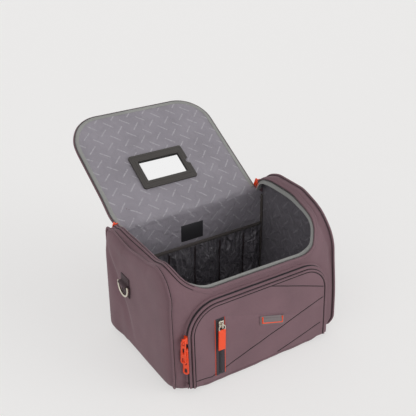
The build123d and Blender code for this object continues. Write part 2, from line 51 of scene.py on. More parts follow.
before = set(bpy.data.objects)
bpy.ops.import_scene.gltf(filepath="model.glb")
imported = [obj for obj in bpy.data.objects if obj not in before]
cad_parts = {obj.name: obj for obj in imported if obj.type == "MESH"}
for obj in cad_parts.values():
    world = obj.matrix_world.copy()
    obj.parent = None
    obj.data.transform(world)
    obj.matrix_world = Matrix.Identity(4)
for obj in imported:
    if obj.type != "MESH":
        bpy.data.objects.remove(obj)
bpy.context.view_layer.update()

# Metres in a millimetre, and the thickness of the padded outer cloth and of the lining in millimetres
MM = 0.001
CLOTH_MM = 2.4
LINING_MM = 0.7

# How finely the opening's edge is laid: up one side, round one front corner, and to the front's middle
SIDE_STEPS = 56
CORNER_STEPS = 30
FRONT_STEPS = 26

# The case's shape in millimetres: +X is its right, -Y its front, and the origin is the middle of the base
HALF_WIDTH = 151.0
HALF_DEPTH = 103.0
HEIGHT = 208.0
LEAN = 0.053
FRONT_RADIUS = 60.0
BACK_RADIUS = 28.0
FOOT_RADIUS = 8.0
HINGE_Z = 183.0
OPENING_HALF = 136.0
OPENING_CORNER = 58.0
RIM_Z = 157.0
LID_TILT = math.radians(30.0)
LID_HALF = 132.0
LID_LENGTH = 225.0
LID_CORNER = 56.0
LID_DEPTH = 5.0
POCKET_HALF = 131.0
POCKET_TOP = 145.0
POCKET_BOTTOM = 8.0
POCKET_CORNER = 50.0
FLAP_INSET = 0.4
SMALL_ZIP_X = -78.0
SMALL_ZIP_LEAN = 1.0
LINING_HALF = 149.4
ROW_HALF = 145.0
ROW_FRONT_Y = 84.9


def linear(hex_colour):
    """A screen colour as the linear values that a shader takes."""
    parts = [int(hex_colour[k : k + 2], 16) / 255 for k in (1, 3, 5)]
    return tuple(p / 12.92 if p <= 0.04045 else ((p + 0.055) / 1.055) ** 2.4 for p in parts)


def length_choice(name, description, metres):
    """A length that a user can change, with its default."""
    return FloatProperty(name=name, description=description, default=metres, unit="LENGTH")


def colour_choice(name, description, hex_colour):
    """A colour that a user can change, with its default."""
    return FloatVectorProperty(
        name=name,
        description=description,
        subtype="COLOR",
        size=3,
        min=0.0,
        max=1.0,
        default=linear(hex_colour),
    )


class CaseSizes(bpy.types.PropertyGroup):
    """Sizes of the cloth's folds and threads."""

    wrinkle: length_choice("Wrinkle depth", "How far the outer cloth moves in and out over its foam", 0.0011)
    rim_sink: length_choice("Left rim sinks", "How far the opening's left edge sags", 0.0145)
    seam_sink: length_choice("Left seam sinks", "How much further the seam of the left end sags", 0.006)
    right_rise: length_choice("Right shoulder rises", "How far the top of the right end stands up", 0.0125)
    right_press: length_choice(
        "Right front shoulder eases", "How far the front of the right shoulder is pressed in", 0.009
    )
    rim_stand: length_choice("Front rim stands", "How far the opening's front edge stands up", 0.0025)
    foot_round: length_choice("Bottom corners", "Radius of the soft corners between the base and the ends", 0.024)
    lid_sag: length_choice("Lid corner sags", "How far the lid's left corner hangs by the hinge", 0.006)
    lid_stretch: length_choice("Lid stretches left", "How far the lid's left edge stands out", 0.004)
    billow: length_choice("Pocket billow", "How far the gathered pockets stand out from the back", 0.0095)
    thread: length_choice("Thread spacing", "Distance between two threads of the outer cloth", 0.0011)
    dash_cell: length_choice(
        "Dash spacing", "Side of the slanted square round each woven dash of the lining", 0.0219
    )
    stitch: length_choice("Stitch length", "Distance between two stitches", 0.0036)


class CaseColours(bpy.types.PropertyGroup):
    """Colours of the cloths, bindings and fittings."""

    fabric: colour_choice("Outer cloth", "Taupe polyester of the outside", "#785C63")
    # Painted shade: the dark cords along seams, folds and gaps take this colour
    seam: colour_choice("Seam shade", "Dark cord laid along seams and folds as painted shade", "#2A1C21")
    lining: colour_choice("Lining", "Grey polyester taffeta of the inside", "#928D95")
    dash: colour_choice("Lining dashes", "Pale dashes woven into the lining", "#B0ACB3")
    binding: colour_choice("Edge tape", "Grey grosgrain round the opening", "#949491")
    dark_cloth: colour_choice("Dark tape", "Zip tape and elastic", "#39343A")
    orange: colour_choice("Orange", "Sliders, pulls, ribbon and trims", "#FF5226")
    metal: colour_choice("Bright metal", "Rings and the small slider", "#D8D2C2")
    vinyl: colour_choice("Mirror frame", "Soft vinyl round the mirror", "#3D3936")
    badge: colour_choice("Badge", "Bare plate of the badge", "#7A7071")
    floor: colour_choice("Floor", "Plain pale floor", "#E9E8E7")


def sizes():
    """The sizes that a user can change."""
    return bpy.context.scene.case_sizes


def colours():
    """The colours that a user can change."""
    return bpy.context.scene.case_colours


# The case's outline and surfaces


def smooth(low, high, value):
    """From 0 to 1 as the value goes from low to high, with soft ends."""
    t = min(max((value - low) / (high - low), 0.0), 1.0)
    return t * t * (3.0 - 2.0 * t)


def outline_parts():
    """The end outline from the back's foot up, over and round: kind, length, start or middle, way or arc."""
    lean = math.atan(LEAN)
    turn = math.pi / 2 - lean
    crest = -HALF_DEPTH + LEAN * HEIGHT
    arc_y = crest + FRONT_RADIUS * math.tan(turn / 2)
    down = (-math.sin(lean), -math.cos(lean))
    arc_end = (arc_y - FRONT_RADIUS * math.cos(lean), HEIGHT - FRONT_RADIUS + FRONT_RADIUS * math.sin(lean))
    foot = FOOT_RADIUS / math.tan(turn / 2)
    front_length = math.hypot(arc_end[0] + HALF_DEPTH, arc_end[1]) - foot
    return [
        ("line", HEIGHT - BACK_RADIUS - FOOT_RADIUS, (HALF_DEPTH, FOOT_RADIUS), (0.0, 1.0)),
        ("arc", BACK_RADIUS * math.pi / 2, (HALF_DEPTH - BACK_RADIUS, HEIGHT - BACK_RADIUS), (BACK_RADIUS, 0.0)),
        ("line", HALF_DEPTH - BACK_RADIUS - arc_y, (HALF_DEPTH - BACK_RADIUS, HEIGHT), (-1.0, 0.0)),
        ("arc", FRONT_RADIUS * turn, (arc_y, HEIGHT - FRONT_RADIUS), (FRONT_RADIUS, math.pi / 2)),
        ("line", front_length, arc_end, down),
        (
            "arc",
            FOOT_RADIUS * (math.pi - turn),
            (-HALF_DEPTH + foot, FOOT_RADIUS),
            (FOOT_RADIUS, math.pi / 2 + turn),
        ),
        ("line", 2 * HALF_DEPTH - FOOT_RADIUS - foot, (-HALF_DEPTH + foot, 0.0), (1.0, 0.0)),
        ("arc", FOOT_RADIUS * math.pi / 2, (HALF_DEPTH - FOOT_RADIUS, FOOT_RADIUS), (FOOT_RADIUS, 1.5 * math.pi)),
    ]


OUTLINE = outline_parts()
ROUND = sum(part[1] for part in OUTLINE)
FRONT_ARC_V = sum(part[1] for part in OUTLINE[:3])
FRONT_V = sum(part[1] for part in OUTLINE[:4])
FOOT_V = sum(part[1] for part in OUTLINE[:6])
BASE_V = sum(part[1] for part in OUTLINE[:7])
FRONT_ARC_Y = OUTLINE[3][2][0]
HINGE_V = HINGE_Z - FOOT_RADIUS


def dome(v, out=0.0):
    """The point (y, z) at v along the outline, moved outward."""
    v %= ROUND
    for part in OUTLINE:
        kind, length, spot, way = part
        if v <= length or part is OUTLINE[-1]:
            break
        v -= length
    if kind == "line":
        return spot[0] + way[0] * v + way[1] * out, spot[1] + way[1] * v - way[0] * out
    angle = way[1] + v / way[0]
    reach = way[0] + out
    return spot[0] + reach * math.cos(angle), spot[1] + reach * math.sin(angle)


def slumped(x, y, z, depth=0.0):
    """The soft case: the left shoulder sinks, the right one stands up, and the foot is rounded and bulges.

    Each smooth() fades one of these in or out over a stretch of x, y or z in millimetres.
    """
    a = abs(x)
    if x < 0:
        sink = sizes().rim_sink * smooth(100, 136, a)
        sink += sizes().seam_sink * smooth(136, 151, a) * math.exp(-(((y - 27) / 34) ** 2))
        z -= sink / MM * smooth(141, 206, z) * smooth(-74, -30, y) * (1 - 0.7 * smooth(88, 103, y))
        hollow = smooth(140, 168, z) * (1 - smooth(188, 204, z)) * (1 - smooth(-76, -56, y))
        y -= 4.0 * smooth(112, 146, a) * hollow
    else:
        reach = smooth(100, 150, a)
        lift = sizes().right_rise / MM * smooth(120, 151, a) * smooth(128, 204, z)
        lift *= smooth(-50, 2, y) * (1 - smooth(52, 100, y))
        press = sizes().right_press / MM * reach * smooth(60, 175, z) * (1 - smooth(-82, -30, y))
        inward = 7.0 * smooth(98, 128, a) * (1 - smooth(135, 151, a))
        inward *= smooth(150, 178, z) * (1 - smooth(-54, 26, y))
        x, y, z = x - inward, y + 0.75 * press, z + lift - 0.65 * press
        a = abs(x)
    rim = sizes().rim_stand / MM * (1 - 0.4 * smooth(0, 110, x)) * (1 - smooth(108, 138, a))
    z += rim * smooth(147, 158, z) * (1 - smooth(166, 190, z)) * (1 - smooth(-84, -64, y))
    middle = 1 - smooth(96, 148, a)
    bulge = (4.2 * (1 - smooth(4, 30, z)) + 7.0 * (1 - smooth(3, 12, z))) * middle
    bulge -= 6.5 * smooth(118, 151, a) * (1 - smooth(0, 30, z))
    bulge *= 1 - smooth(-100, -66, y)
    y -= bulge * (1 - min(depth, 4.0) / 4.2)
    radius = sizes().foot_round / MM * (1.1 if x > 0 else 0.8)
    over, low = a - (HALF_WIDTH - radius), radius - z
    if over > 0 and low > 0 and radius:
        proud = max(a - HALF_WIDTH, 0.0)
        over -= proud
        far = math.hypot(over, low)
        if far > radius - depth:
            over, low = over * (radius - depth) / far, low * (radius - depth) / far
        a, z = HALF_WIDTH - radius + over + proud, radius - low
    return Vector((math.copysign(a, x), y, z))


def wall_point(x, v, out=0.0):
    """A point of the slumped wall: across, along the end outline and outward."""
    y, z = dome(v, out)
    return slumped(x, y, z, max(-out - 1.5, 0.0))


def front(x, v, w):
    """A point on the leaning front wall: across, up the wall and outward."""
    lean = math.atan(LEAN)
    return Vector((x, -HALF_DEPTH + math.sin(lean) * v - math.cos(lean) * w, math.cos(lean) * v + math.sin(lean) * w))


def lid(x, s, t):
    """A point on the open lid: across, away from the hinge and inward from its outer skin.

    The soft lid hangs a little lower at its left corner by the hinge and stretches to the left.
    """
    left = smooth(-60, -132, x)
    x -= sizes().lid_stretch / MM * left * smooth(0, 30, s) * (1 - smooth(150, 205, s))
    s -= 3.0 * smooth(30, 225, s)
    sag = sizes().lid_sag / MM * smooth(-92, -132, x) * (1 - smooth(4, 64, s))
    return Vector(
        (
            x,
            HALF_DEPTH + math.cos(LID_TILT) * s - math.sin(LID_TILT) * t,
            HINGE_Z + math.sin(LID_TILT) * s + math.cos(LID_TILT) * t - sag,
        )
    )


def ripple(x, v, size, seed):
    """Gentle unevenness of cloth from -1 to 1."""
    return noise.noise(Vector((x / size, v / size, seed)))


def skin(x, v):
    """How far the outer cloth stands out over its foam, with the long fold of the right shoulder."""
    depth = sizes().wrinkle / MM
    edge = HALF_WIDTH - abs(x)
    uneven = depth * ripple(x, v * 0.6, 34, 2.3) + 0.35 * depth * ripple(x * 1.3, v, 12, 7.7)
    fold = 0.0
    if x > 100:
        middle = 140.5 + 4.5 * smooth(FRONT_ARC_V - 20, FRONT_V + 10, v)
        along = smooth(FRONT_ARC_V - 60, FRONT_ARC_V, v) * (1 - smooth(FRONT_V - 5, FRONT_V + 50, v))
        fold = 2.6 * math.exp(-(((x - middle) / 3.6) ** 2)) * along
    return uneven * smooth(0, 10, edge) - 1.3 * math.exp(-edge / 4.0) - fold


def opening_line():
    """The opening's edge from the right of the hinge round the front to the left: across, along."""
    centre_z = HEIGHT - FRONT_RADIUS
    rim_turn = math.acos((RIM_Z - centre_z) / FRONT_RADIUS)
    tilt = math.radians(38.0)
    rim_local = FRONT_RADIUS * math.cos(rim_turn - tilt + math.pi / 2)
    corner_local = rim_local + OPENING_CORNER
    corner_v = FRONT_ARC_V + FRONT_RADIUS * (math.acos(corner_local / FRONT_RADIUS) - math.pi / 2 + tilt)
    half = [(OPENING_HALF, HINGE_V + (corner_v - HINGE_V) * k / SIDE_STEPS) for k in range(SIDE_STEPS)]
    for k in range(CORNER_STEPS + 1):
        angle = math.pi / 2 * k / CORNER_STEPS
        across = OPENING_HALF - OPENING_CORNER + OPENING_CORNER * math.cos(angle)
        local = corner_local - OPENING_CORNER * math.sin(angle)
        half.append((across, FRONT_ARC_V + FRONT_RADIUS * (math.acos(local / FRONT_RADIUS) - math.pi / 2 + tilt)))
    last = half[-1]
    half += [(last[0] * (1 - k / FRONT_STEPS), last[1]) for k in range(1, FRONT_STEPS + 1)]
    return half + [(-x, v) for x, v in reversed(half[:-1])]


def seam_line():
    """Where the wrapped cloth ends outward of each point of the opening's edge."""
    corner_v = EDGE[SIDE_STEPS][1]
    half = [(HALF_WIDTH, EDGE[k][1]) for k in range(SIDE_STEPS)]
    half += [(HALF_WIDTH, corner_v + (FOOT_V - corner_v) * k / CORNER_STEPS) for k in range(CORNER_STEPS + 1)]
    half += [(HALF_WIDTH * (1 - k / FRONT_STEPS), FOOT_V) for k in range(1, FRONT_STEPS + 1)]
    return half + [(-x, v) for x, v in reversed(half[:-1])]


def sides_of(line):
    """Unit steps square to a line of flat points, to the left of its way."""
    found = []
    for k in range(len(line)):
        a, b = line[max(k - 1, 0)], line[min(k + 1, len(line) - 1)]
        dx, dy = b[0] - a[0], b[1] - a[1]
        size = math.hypot(dx, dy)
        found.append((-dy / size, dx / size))
    return found


EDGE = opening_line()
SEAM = seam_line()
EDGE_IN = sides_of(EDGE)


def at_share(line, share):
    """The point at a share of the way through a list of points."""
    spot = share * (len(line) - 1)
    k = min(int(spot), len(line) - 2)
    return tuple(p + (q - p) * (spot - k) for p, q in zip(line[k], line[k + 1]))


# Modelling helpers


def select_only(piece):
    """Selects one piece and makes it active."""
    bpy.ops.object.select_all(action="DESELECT")
    piece.select_set(True)
    bpy.context.view_layer.objects.active = piece


def change(piece, kind, **settings):
    """Adds a modifier with its settings and applies it."""
    select_only(piece)
    bpy.ops.object.modifier_add(type=kind)
    modifier = piece.modifiers[-1]
    for name, value in settings.items():
        setattr(modifier, name, value)
    bpy.ops.object.modifier_apply(modifier=modifier.name)
    return piece


def cloth(name, columns, rows, place, heart, outward=True, thickness=0.0, closed=False):
    """A grid laid by place, which gives each point in mm and its place on the flat cloth.

    The shown side looks away from the heart, or towards it, and the thickness goes behind it.
    """
    bpy.ops.object.select_all(action="DESELECT")
    bpy.ops.mesh.primitive_grid_add(x_subdivisions=columns, y_subdivisions=rows, size=2)
    piece = bpy.context.object
    piece.name = name
    mesh = piece.data
    laid = [place((p.co.x + 1) / 2, (p.co.y + 1) / 2) for p in mesh.vertices]
    for point, (spot, _) in zip(mesh.vertices, laid):
        point.co = Vector(spot) * MM
    layer = mesh.uv_layers[0]
    for loop in mesh.loops:
        layer.data[loop.index].uv = [value * MM for value in laid[loop.vertex_index][1]]
    mesh.update()
    middle = Vector(heart) * MM
    facing = sum(f.normal.dot((f.center - middle).normalized()) * f.area for f in mesh.polygons)
    if (facing > 0) != outward:
        mesh.flip_normals()
    if closed:
        select_only(piece)
        bpy.ops.object.mode_set(mode="EDIT")
        bpy.ops.mesh.select_all(action="SELECT")
        bpy.ops.mesh.remove_doubles(threshold=0.00002)
        bpy.ops.object.mode_set(mode="OBJECT")
    if thickness:
        change(piece, "SOLIDIFY", thickness=thickness * MM, offset=-1.0, use_rim=True)
    return piece


def round_cord(name, runs, radius, closed=False):
    """Round cord along one or more lines of points in mm."""
    bpy.ops.object.select_all(action="DESELECT")
    path = bpy.data.curves.new(name, "CURVE")
    path.dimensions = "3D"
    for run in runs:
        line = path.splines.new("POLY")
        line.points.add(len(run) - 1)
        for point, spot in zip(line.points, run):
            point.co = (*(Vector(spot) * MM), 1.0)
        line.use_cyclic_u = closed
    path.bevel_depth = radius * MM
    path.bevel_resolution = 2
    path.use_fill_caps = True
    piece = bpy.data.objects.new(name, path)
    bpy.context.collection.objects.link(piece)
    select_only(piece)
    bpy.ops.object.convert(target="MESH")
    return bpy.context.object


def even_steps(line, pitch):
    """Points at an even pitch along a line of points, each with its way."""
    line = [Vector(p) for p in line]
    lengths = [(b - a).length for a, b in zip(line, line[1:])]
    count = max(int(sum(lengths) / pitch), 1)
    pitch = sum(lengths) / count
    found, k, left = [], 0, pitch / 2
    for _ in range(count):
        while k < len(lengths) - 1 and left > lengths[k]:
            left -= lengths[k]
            k += 1
        way = (line[k + 1] - line[k]).normalized()
        found.append((line[k] + way * left, way))
        left += pitch
    return found


def repeated(name, size, spots, bevel=0.3):
    """One small bevelled block, modelled once and copied to each spot: place, way and up."""
    bpy.ops.object.select_all(action="DESELECT")
    bpy.ops.mesh.primitive_cube_add(size=1)
    block = bpy.context.object
    bpy.ops.object.mode_set(mode="EDIT")
    bpy.ops.transform.resize(value=size)
    bpy.ops.mesh.bevel(offset=min(size) * bevel, segments=1)
    bpy.ops.object.mode_set(mode="OBJECT")
    corners = [p.co.copy() for p in block.data.vertices]
    sides = [tuple(f.vertices) for f in block.data.polygons]
    points, faces = [], []
    for place, way, up in spots:
        across = up.cross(way).normalized()
        start = len(points)
        points += [(place + way * c.x + across * c.y + up * c.z) * MM for c in corners]
        faces += [tuple(start + k for k in side) for side in sides]
    mesh = bpy.data.meshes.new(name)
    mesh.from_pydata(points, [], faces)
    mesh.update()
    block.data = mesh
    block.name = name
    return block


def teeth(name, line, up, size=(1.0, 1.6, 1.5), pitch=1.9):
    """A zip's coil along a line: up gives the side it stands on at each spot."""
    spots = [(spot, way, up(spot) if callable(up) else up) for spot, way in even_steps(line, pitch)]
    return repeated(name, size, spots)


def stitches(name, lines, up):
    """Rows of thread stitches that lie on the cloth."""
    pitch = sizes().stitch / MM
    spots = []
    for line in lines:
        spots += [(spot, way, up(spot) if callable(up) else up) for spot, way in even_steps(line, pitch)]
    return repeated(name, (pitch * 0.74, 0.5, 0.36), spots, 0.35)


def soft_edged(node, bevel, segments=2, name=None):
    """A smoothed copy of a hard CAD node, with its flat faces joined and its edges rounded."""
    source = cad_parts[node]
    piece = source.copy()
    piece.data = source.data.copy()
    for key in list(piece.keys()):
        if key.startswith("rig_"):
            del piece[key]
    piece.parent = None
    piece.matrix_world = Matrix.Identity(4)
    piece.hide_render = piece.hide_viewport = False
    piece.name = name or node + "_finished"
    bpy.context.collection.objects.link(piece)
    select_only(piece)
    bpy.ops.object.mode_set(mode="EDIT")
    bpy.ops.mesh.select_all(action="SELECT")
    bpy.ops.mesh.remove_doubles(threshold=0.00001)
    bpy.ops.mesh.dissolve_limited(angle_limit=math.radians(1.0))
    bpy.ops.object.mode_set(mode="OBJECT")
    if bevel:
        change(
            piece,
            "BEVEL",
            width=bevel * MM,
            segments=segments,
            limit_method="ANGLE",
            angle_limit=math.radians(32),
            use_clamp_overlap=True,
        )
    return piece


def joined(name, pieces):
    """One or more meshes made one."""
    select_only(pieces[0])
    for piece in pieces[1:]:
        piece.select_set(True)
    if len(pieces) > 1:
        bpy.ops.object.join()
    pieces[0].name = name
    return pieces[0]


def dress(piece, material, body=None, nodes=(), bend=None, angle=42):
    """Gives a piece its material and smooth shading, hides the CAD nodes it stands for, and ties it to its body, or
    with a bend only bakes its place in.
    """
    piece.data.materials.clear()
    piece.data.materials.append(material)
    select_only(piece)
    bpy.ops.object.shade_smooth_by_angle(angle=math.radians(angle))
    if nodes:
        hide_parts(*nodes)
    if bend:
        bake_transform(piece)
    else:
        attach(piece, body)
    return piece


# Materials


def add_node(tree, kind, joins=None, **settings):
    """A node with its settings. joins gives each input a value, or a node and the name of its output."""
    node = tree.nodes.new(kind)
    for name, value in settings.items():
        setattr(node, name, value)
    for socket, value in (joins or {}).items():
        if isinstance(value, tuple) and isinstance(value[0], bpy.types.Node):
            tree.links.new(value[0].outputs[value[1]], node.inputs[socket])
        else:
            node.inputs[socket].default_value = value
    return node


def new_material(name, **shader):
    """An empty material with its surface shader."""
    material = bpy.data.materials.get(name)
    if material:
        return material, None, None
    material = bpy.data.materials.new(name)
    material.use_nodes = True
    tree = material.node_tree
    surface = tree.nodes["Principled BSDF"]
    for socket, value in shader.items():
        surface.inputs[socket.replace("_", " ")].default_value = value
    return material, tree, surface


def rgba(colour, shade=1.0):
    """A linear colour with its alpha, made darker or paler."""
    return (*(min(part * shade, 1.0) for part in colour), 1.0)


def woven(name, colour, thread, contrast=0.10, sheen=0.12, roughness=0.88, bump=0.35):
    """Woven cloth: two-tone threads, a low weave and slow changes of shade over the panel."""
    material, tree, surface = new_material(name, Roughness=roughness, Sheen_Weight=sheen)
    if tree is None:
        return material
    surface.inputs["Sheen Roughness"].default_value = 0.5
    place = add_node(tree, "ShaderNodeTexCoord")
    threads = add_node(
        tree,
        "ShaderNodeTexNoise",
        {"Vector": (place, "Object"), "Scale": 0.45 / thread, "Detail": 3.0, "Roughness": 0.7},
    )
    slow = add_node(tree, "ShaderNodeTexNoise", {"Vector": (place, "Object"), "Scale": 16.0, "Detail": 2.0})
    both = add_node(
        tree,
        "ShaderNodeMath",
        {0: (threads, "Fac"), 1: 0.6, 2: (slow, "Fac")},
        operation="MULTIPLY_ADD",
    )
    ramp = add_node(tree, "ShaderNodeValToRGB", {"Fac": (both, "Value")})
    ramp.color_ramp.elements[0].position = 0.5
    ramp.color_ramp.elements[0].color = rgba(colour, 1 - contrast)
    ramp.color_ramp.elements[1].position = 1.1
    ramp.color_ramp.elements[1].color = rgba(colour, 1 + contrast)
    tree.links.new(ramp.outputs["Color"], surface.inputs["Base Color"])
    weave = add_node(
        tree,
        "ShaderNodeTexVoronoi",
        {"Vector": (place, "Object"), "Scale": 1.0 / thread, "Randomness": 0.25},
        feature="SMOOTH_F1",
    )
    relief = add_node(
        tree,
        "ShaderNodeBump",
        {"Strength": bump, "Distance": 0.0004, "Height": (weave, "Distance")},
        invert=True,
    )
    tree.links.new(relief.outputs["Normal"], surface.inputs["Normal"])
    return material


def outer_cloth():
    # Solution-dyed polyester twill: matt, a little heathered, with a fine dry grain
    return woven("Polyester twill, taupe", colours().fabric, sizes().thread)


def seam_shade_cloth():
    # Dark taupe twill for cords laid along seams, folds and gaps as painted shade
    return woven("Painted seam shade, dark taupe", colours().seam, 0.0009, bump=0.2, sheen=0.1)


def thread_material():
    # Bonded nylon thread, slightly lighter and shinier than the cloth it holds
    return woven("Nylon thread, taupe", [c * 0.72 for c in colours().fabric], 0.0006, sheen=0.1, roughness=0.6)


def zip_tape():
    # Dense polyester zip tape, flat and nearly black
    return woven("Polyester zip tape, charcoal", colours().dark_cloth, 0.0008, contrast=0.06, bump=0.2)


def grosgrain():
    # Ribbed polyester tape, pale grey with ribs across it
    return woven("Polyester grosgrain, grey", colours().binding, 0.0012, contrast=0.08, bump=0.6)


def coil_plastic():
    # Polyester monofilament wound into a coil: half gloss, mid grey
    return woven("Polyester monofilament, grey", (0.105, 0.1, 0.098), 0.0015, sheen=0.0, roughness=0.45, bump=0.1)


def dark_coil():
    # The same filament dyed charcoal for the front pocket's zips
    return woven("Polyester monofilament, charcoal", (0.042, 0.037, 0.04), 0.0015, sheen=0.0, roughness=0.42, bump=0.1)


def dash_lining(name, painted_shade=1.0, crumple_depth=0.0034, roughness=0.5):
    """Thin polyester taffeta with short pale dashes set crosswise, a little glossy; painted_shade darkens a copy of
    the whole print as painted shade.
    """
    material, tree, surface = new_material(name, Roughness=roughness, Sheen_Weight=0.05)
    if tree is None:
        return material
    cell = sizes().dash_cell
    place = add_node(tree, "ShaderNodeTexCoord")
    grid = add_node(
        tree,
        "ShaderNodeMapping",
        {"Vector": (place, "UV"), "Scale": (1 / cell, 1 / cell, 1.0), "Rotation": (0.0, 0.0, math.pi / 4)},
    )
    apart = add_node(tree, "ShaderNodeSeparateXYZ", {"Vector": (grid, "Vector")})
    inner, count = [], []
    for axis in ("X", "Y"):
        whole = add_node(tree, "ShaderNodeMath", {0: (apart, axis)}, operation="FLOOR")
        part = add_node(tree, "ShaderNodeMath", {0: (apart, axis), 1: (whole, "Value")}, operation="SUBTRACT")
        inner.append(add_node(tree, "ShaderNodeMath", {0: (part, "Value"), 1: 0.5}, operation="SUBTRACT"))
        count.append(whole)
    total = add_node(tree, "ShaderNodeMath", {0: (count[0], "Value"), 1: (count[1], "Value")}, operation="ADD")
    odd = add_node(tree, "ShaderNodeMath", {0: (total, "Value"), 1: 2.0}, operation="FLOORED_MODULO")
    masks = []
    for first, second in ((inner[1], inner[0]), (inner[0], inner[1])):
        pick = add_node(
            tree,
            "ShaderNodeMix",
            {0: (odd, "Value"), 2: (first, "Value"), 3: (second, "Value")},
            data_type="FLOAT",
        )
        masks.append(add_node(tree, "ShaderNodeMath", {0: (pick, 0)}, operation="ABSOLUTE"))
    long_part = add_node(
        tree,
        "ShaderNodeMapRange",
        {"Value": (masks[0], "Value"), "From Min": 0.42, "From Max": 0.46, "To Min": 1.0, "To Max": 0.0},
    )
    thin_part = add_node(
        tree,
        "ShaderNodeMapRange",
        {"Value": (masks[1], "Value"), "From Min": 0.026, "From Max": 0.066, "To Min": 1.0, "To Max": 0.0},
    )
    dash = add_node(
        tree, "ShaderNodeMath", {0: (long_part, "Result"), 1: (thin_part, "Result")}, operation="MULTIPLY"
    )
    worn = add_node(tree, "ShaderNodeTexNoise", {"Vector": (place, "UV"), "Scale": 330.0, "Detail": 2.0})
    shown = add_node(
        tree,
        "ShaderNodeMapRange",
        {"Value": (worn, "Fac"), "From Min": 0.36, "From Max": 0.6, "To Min": 0.25, "To Max": 1.0},
    )
    mask = add_node(
        tree, "ShaderNodeMath", {0: (dash, "Value"), 1: (shown, "Result")}, operation="MULTIPLY", use_clamp=True
    )
    slow = add_node(tree, "ShaderNodeTexNoise", {"Vector": (place, "UV"), "Scale": 14.0, "Detail": 3.0})
    ramp = add_node(tree, "ShaderNodeValToRGB", {"Fac": (slow, "Fac")})
    ramp.color_ramp.elements[0].position = 0.3
    ramp.color_ramp.elements[0].color = rgba(colours().lining, 0.86 * painted_shade)
    ramp.color_ramp.elements[1].position = 0.7
    ramp.color_ramp.elements[1].color = rgba(colours().lining, 1.06 * painted_shade)
    printed = add_node(
        tree,
        "ShaderNodeMix",
        {0: (mask, "Value"), 6: (ramp, "Color"), 7: rgba(colours().dash, painted_shade)},
        data_type="RGBA",
    )
    tree.links.new(printed.outputs[2], surface.inputs["Base Color"])
    crumple = add_node(
        tree, "ShaderNodeTexNoise", {"Vector": (place, "UV"), "Scale": 62.0, "Detail": 5.0, "Distortion": 0.9}
    )
    relief = add_node(
        tree, "ShaderNodeBump", {"Strength": 0.8, "Distance": crumple_depth, "Height": (crumple, "Fac")}
    )
    tree.links.new(relief.outputs["Normal"], surface.inputs["Normal"])
    return material


def moulded(name, colour, roughness=0.38, grain=0.0012):
    """Moulded soft plastic: an even colour, a half gloss and a faint orange-peel surface."""
    material, tree, surface = new_material(name, Roughness=roughness, Base_Color=rgba(colour))
    if tree is None:
        return material
    place = add_node(tree, "ShaderNodeTexCoord")
    peel = add_node(
        tree, "ShaderNodeTexNoise", {"Vector": (place, "Object"), "Scale": 1 / grain, "Detail": 2.0}
    )
    ramp = add_node(tree, "ShaderNodeValToRGB", {"Fac": (peel, "Fac")})
    ramp.color_ramp.elements[0].color = rgba(colour, 0.93)
    ramp.color_ramp.elements[1].color = rgba(colour, 1.04)
    tree.links.new(ramp.outputs["Color"], surface.inputs["Base Color"])
    relief = add_node(
        tree, "ShaderNodeBump", {"Strength": 0.12, "Distance": 0.0003, "Height": (peel, "Fac")}
    )
    tree.links.new(relief.outputs["Normal"], surface.inputs["Normal"])
    return material


def orange_plastic():
    # Injection-moulded PVC pulls and painted sliders, bright orange with a soft gloss
    return moulded("Moulded PVC, orange", colours().orange, 0.36)


def vinyl():
    # Embossed soft vinyl sheet, warm charcoal with a dull gloss and a fine grain
    return moulded("Embossed vinyl, charcoal", colours().vinyl, 0.55, 0.0016)


def bright_metal():
    # Nickel-plated steel wire, tumbled bright: sharp reflections with faint drawing marks
    material, tree, surface = new_material(
        "Nickel-plated steel", Roughness=0.24, Metallic=1.0, Base_Color=rgba(colours().metal)
    )
    if tree is None:
        return material
    place = add_node(tree, "ShaderNodeTexCoord")
    marks = add_node(tree, "ShaderNodeTexNoise", {"Vector": (place, "Object"), "Scale": 900.0, "Detail": 3.0})
    ramp = add_node(tree, "ShaderNodeMapRange", {"Value": (marks, "Fac"), "To Min": 0.18, "To Max": 0.34})
    tree.links.new(ramp.outputs["Result"], surface.inputs["Roughness"])
    return material


def mirror_glass():
    # Silvered acrylic card: a clean, slightly soft reflection
    material, tree, surface = new_material(
        "Silvered acrylic", Roughness=0.06, Metallic=1.0, Base_Color=(0.95, 0.955, 0.955, 1.0)
    )
    if tree is None:
        return material
    place = add_node(tree, "ShaderNodeTexCoord")
    haze = add_node(tree, "ShaderNodeTexNoise", {"Vector": (place, "Object"), "Scale": 60.0, "Detail": 2.0})
    ramp = add_node(tree, "ShaderNodeMapRange", {"Value": (haze, "Fac"), "To Min": 0.04, "To Max": 0.09})
    tree.links.new(ramp.outputs["Result"], surface.inputs["Roughness"])
    return material


def label_satin():
    # Black satin ribbon, dense and smooth, left bare
    return woven("Polyester satin, black", linear("#1D1C20"), 0.0007, contrast=0.05, roughness=0.5, bump=0.1)


def orange_ribbon():
    # Fine grosgrain ribbon in bright orange
    return woven("Polyester ribbon, orange", colours().orange, 0.0010, contrast=0.05, roughness=0.7, bump=0.3)


def badge_rubber():
    # Moulded soft PVC patch, grey-taupe and matt
    return moulded("Moulded PVC, grey taupe", colours().badge, 0.6, 0.0014)


def board():
    # Grey pressed board under the floor lining
    return woven("Pressed board, grey", linear("#6E6A66"), 0.002, contrast=0.12, sheen=0.0, bump=0.2)


def bias_binding():
    # Folded bias tape over the inner seams, matt and dark
    return woven("Bias binding, dark taupe", linear("#4B4542"), 0.0010)


def ribbed_elastic():
    # Woven elastic with ribs along it, dull and dark
    return woven("Ribbed elastic, dark taupe", linear("#504A47"), 0.0013, bump=0.7)


def black_thread():
    # Nylon thread that matches the mirror's vinyl
    return woven("Nylon thread, black", linear("#2E2C2A"), 0.0006)


def vinyl_edge_shadow():
    # Black cord at the mirror's inner edge: the frame's dark inner side, with painted shadow of the frame on the
    # mirror
    return woven("Vinyl edge and painted shadow, black", linear("#1C1A19"), 0.0016, sheen=0.0)


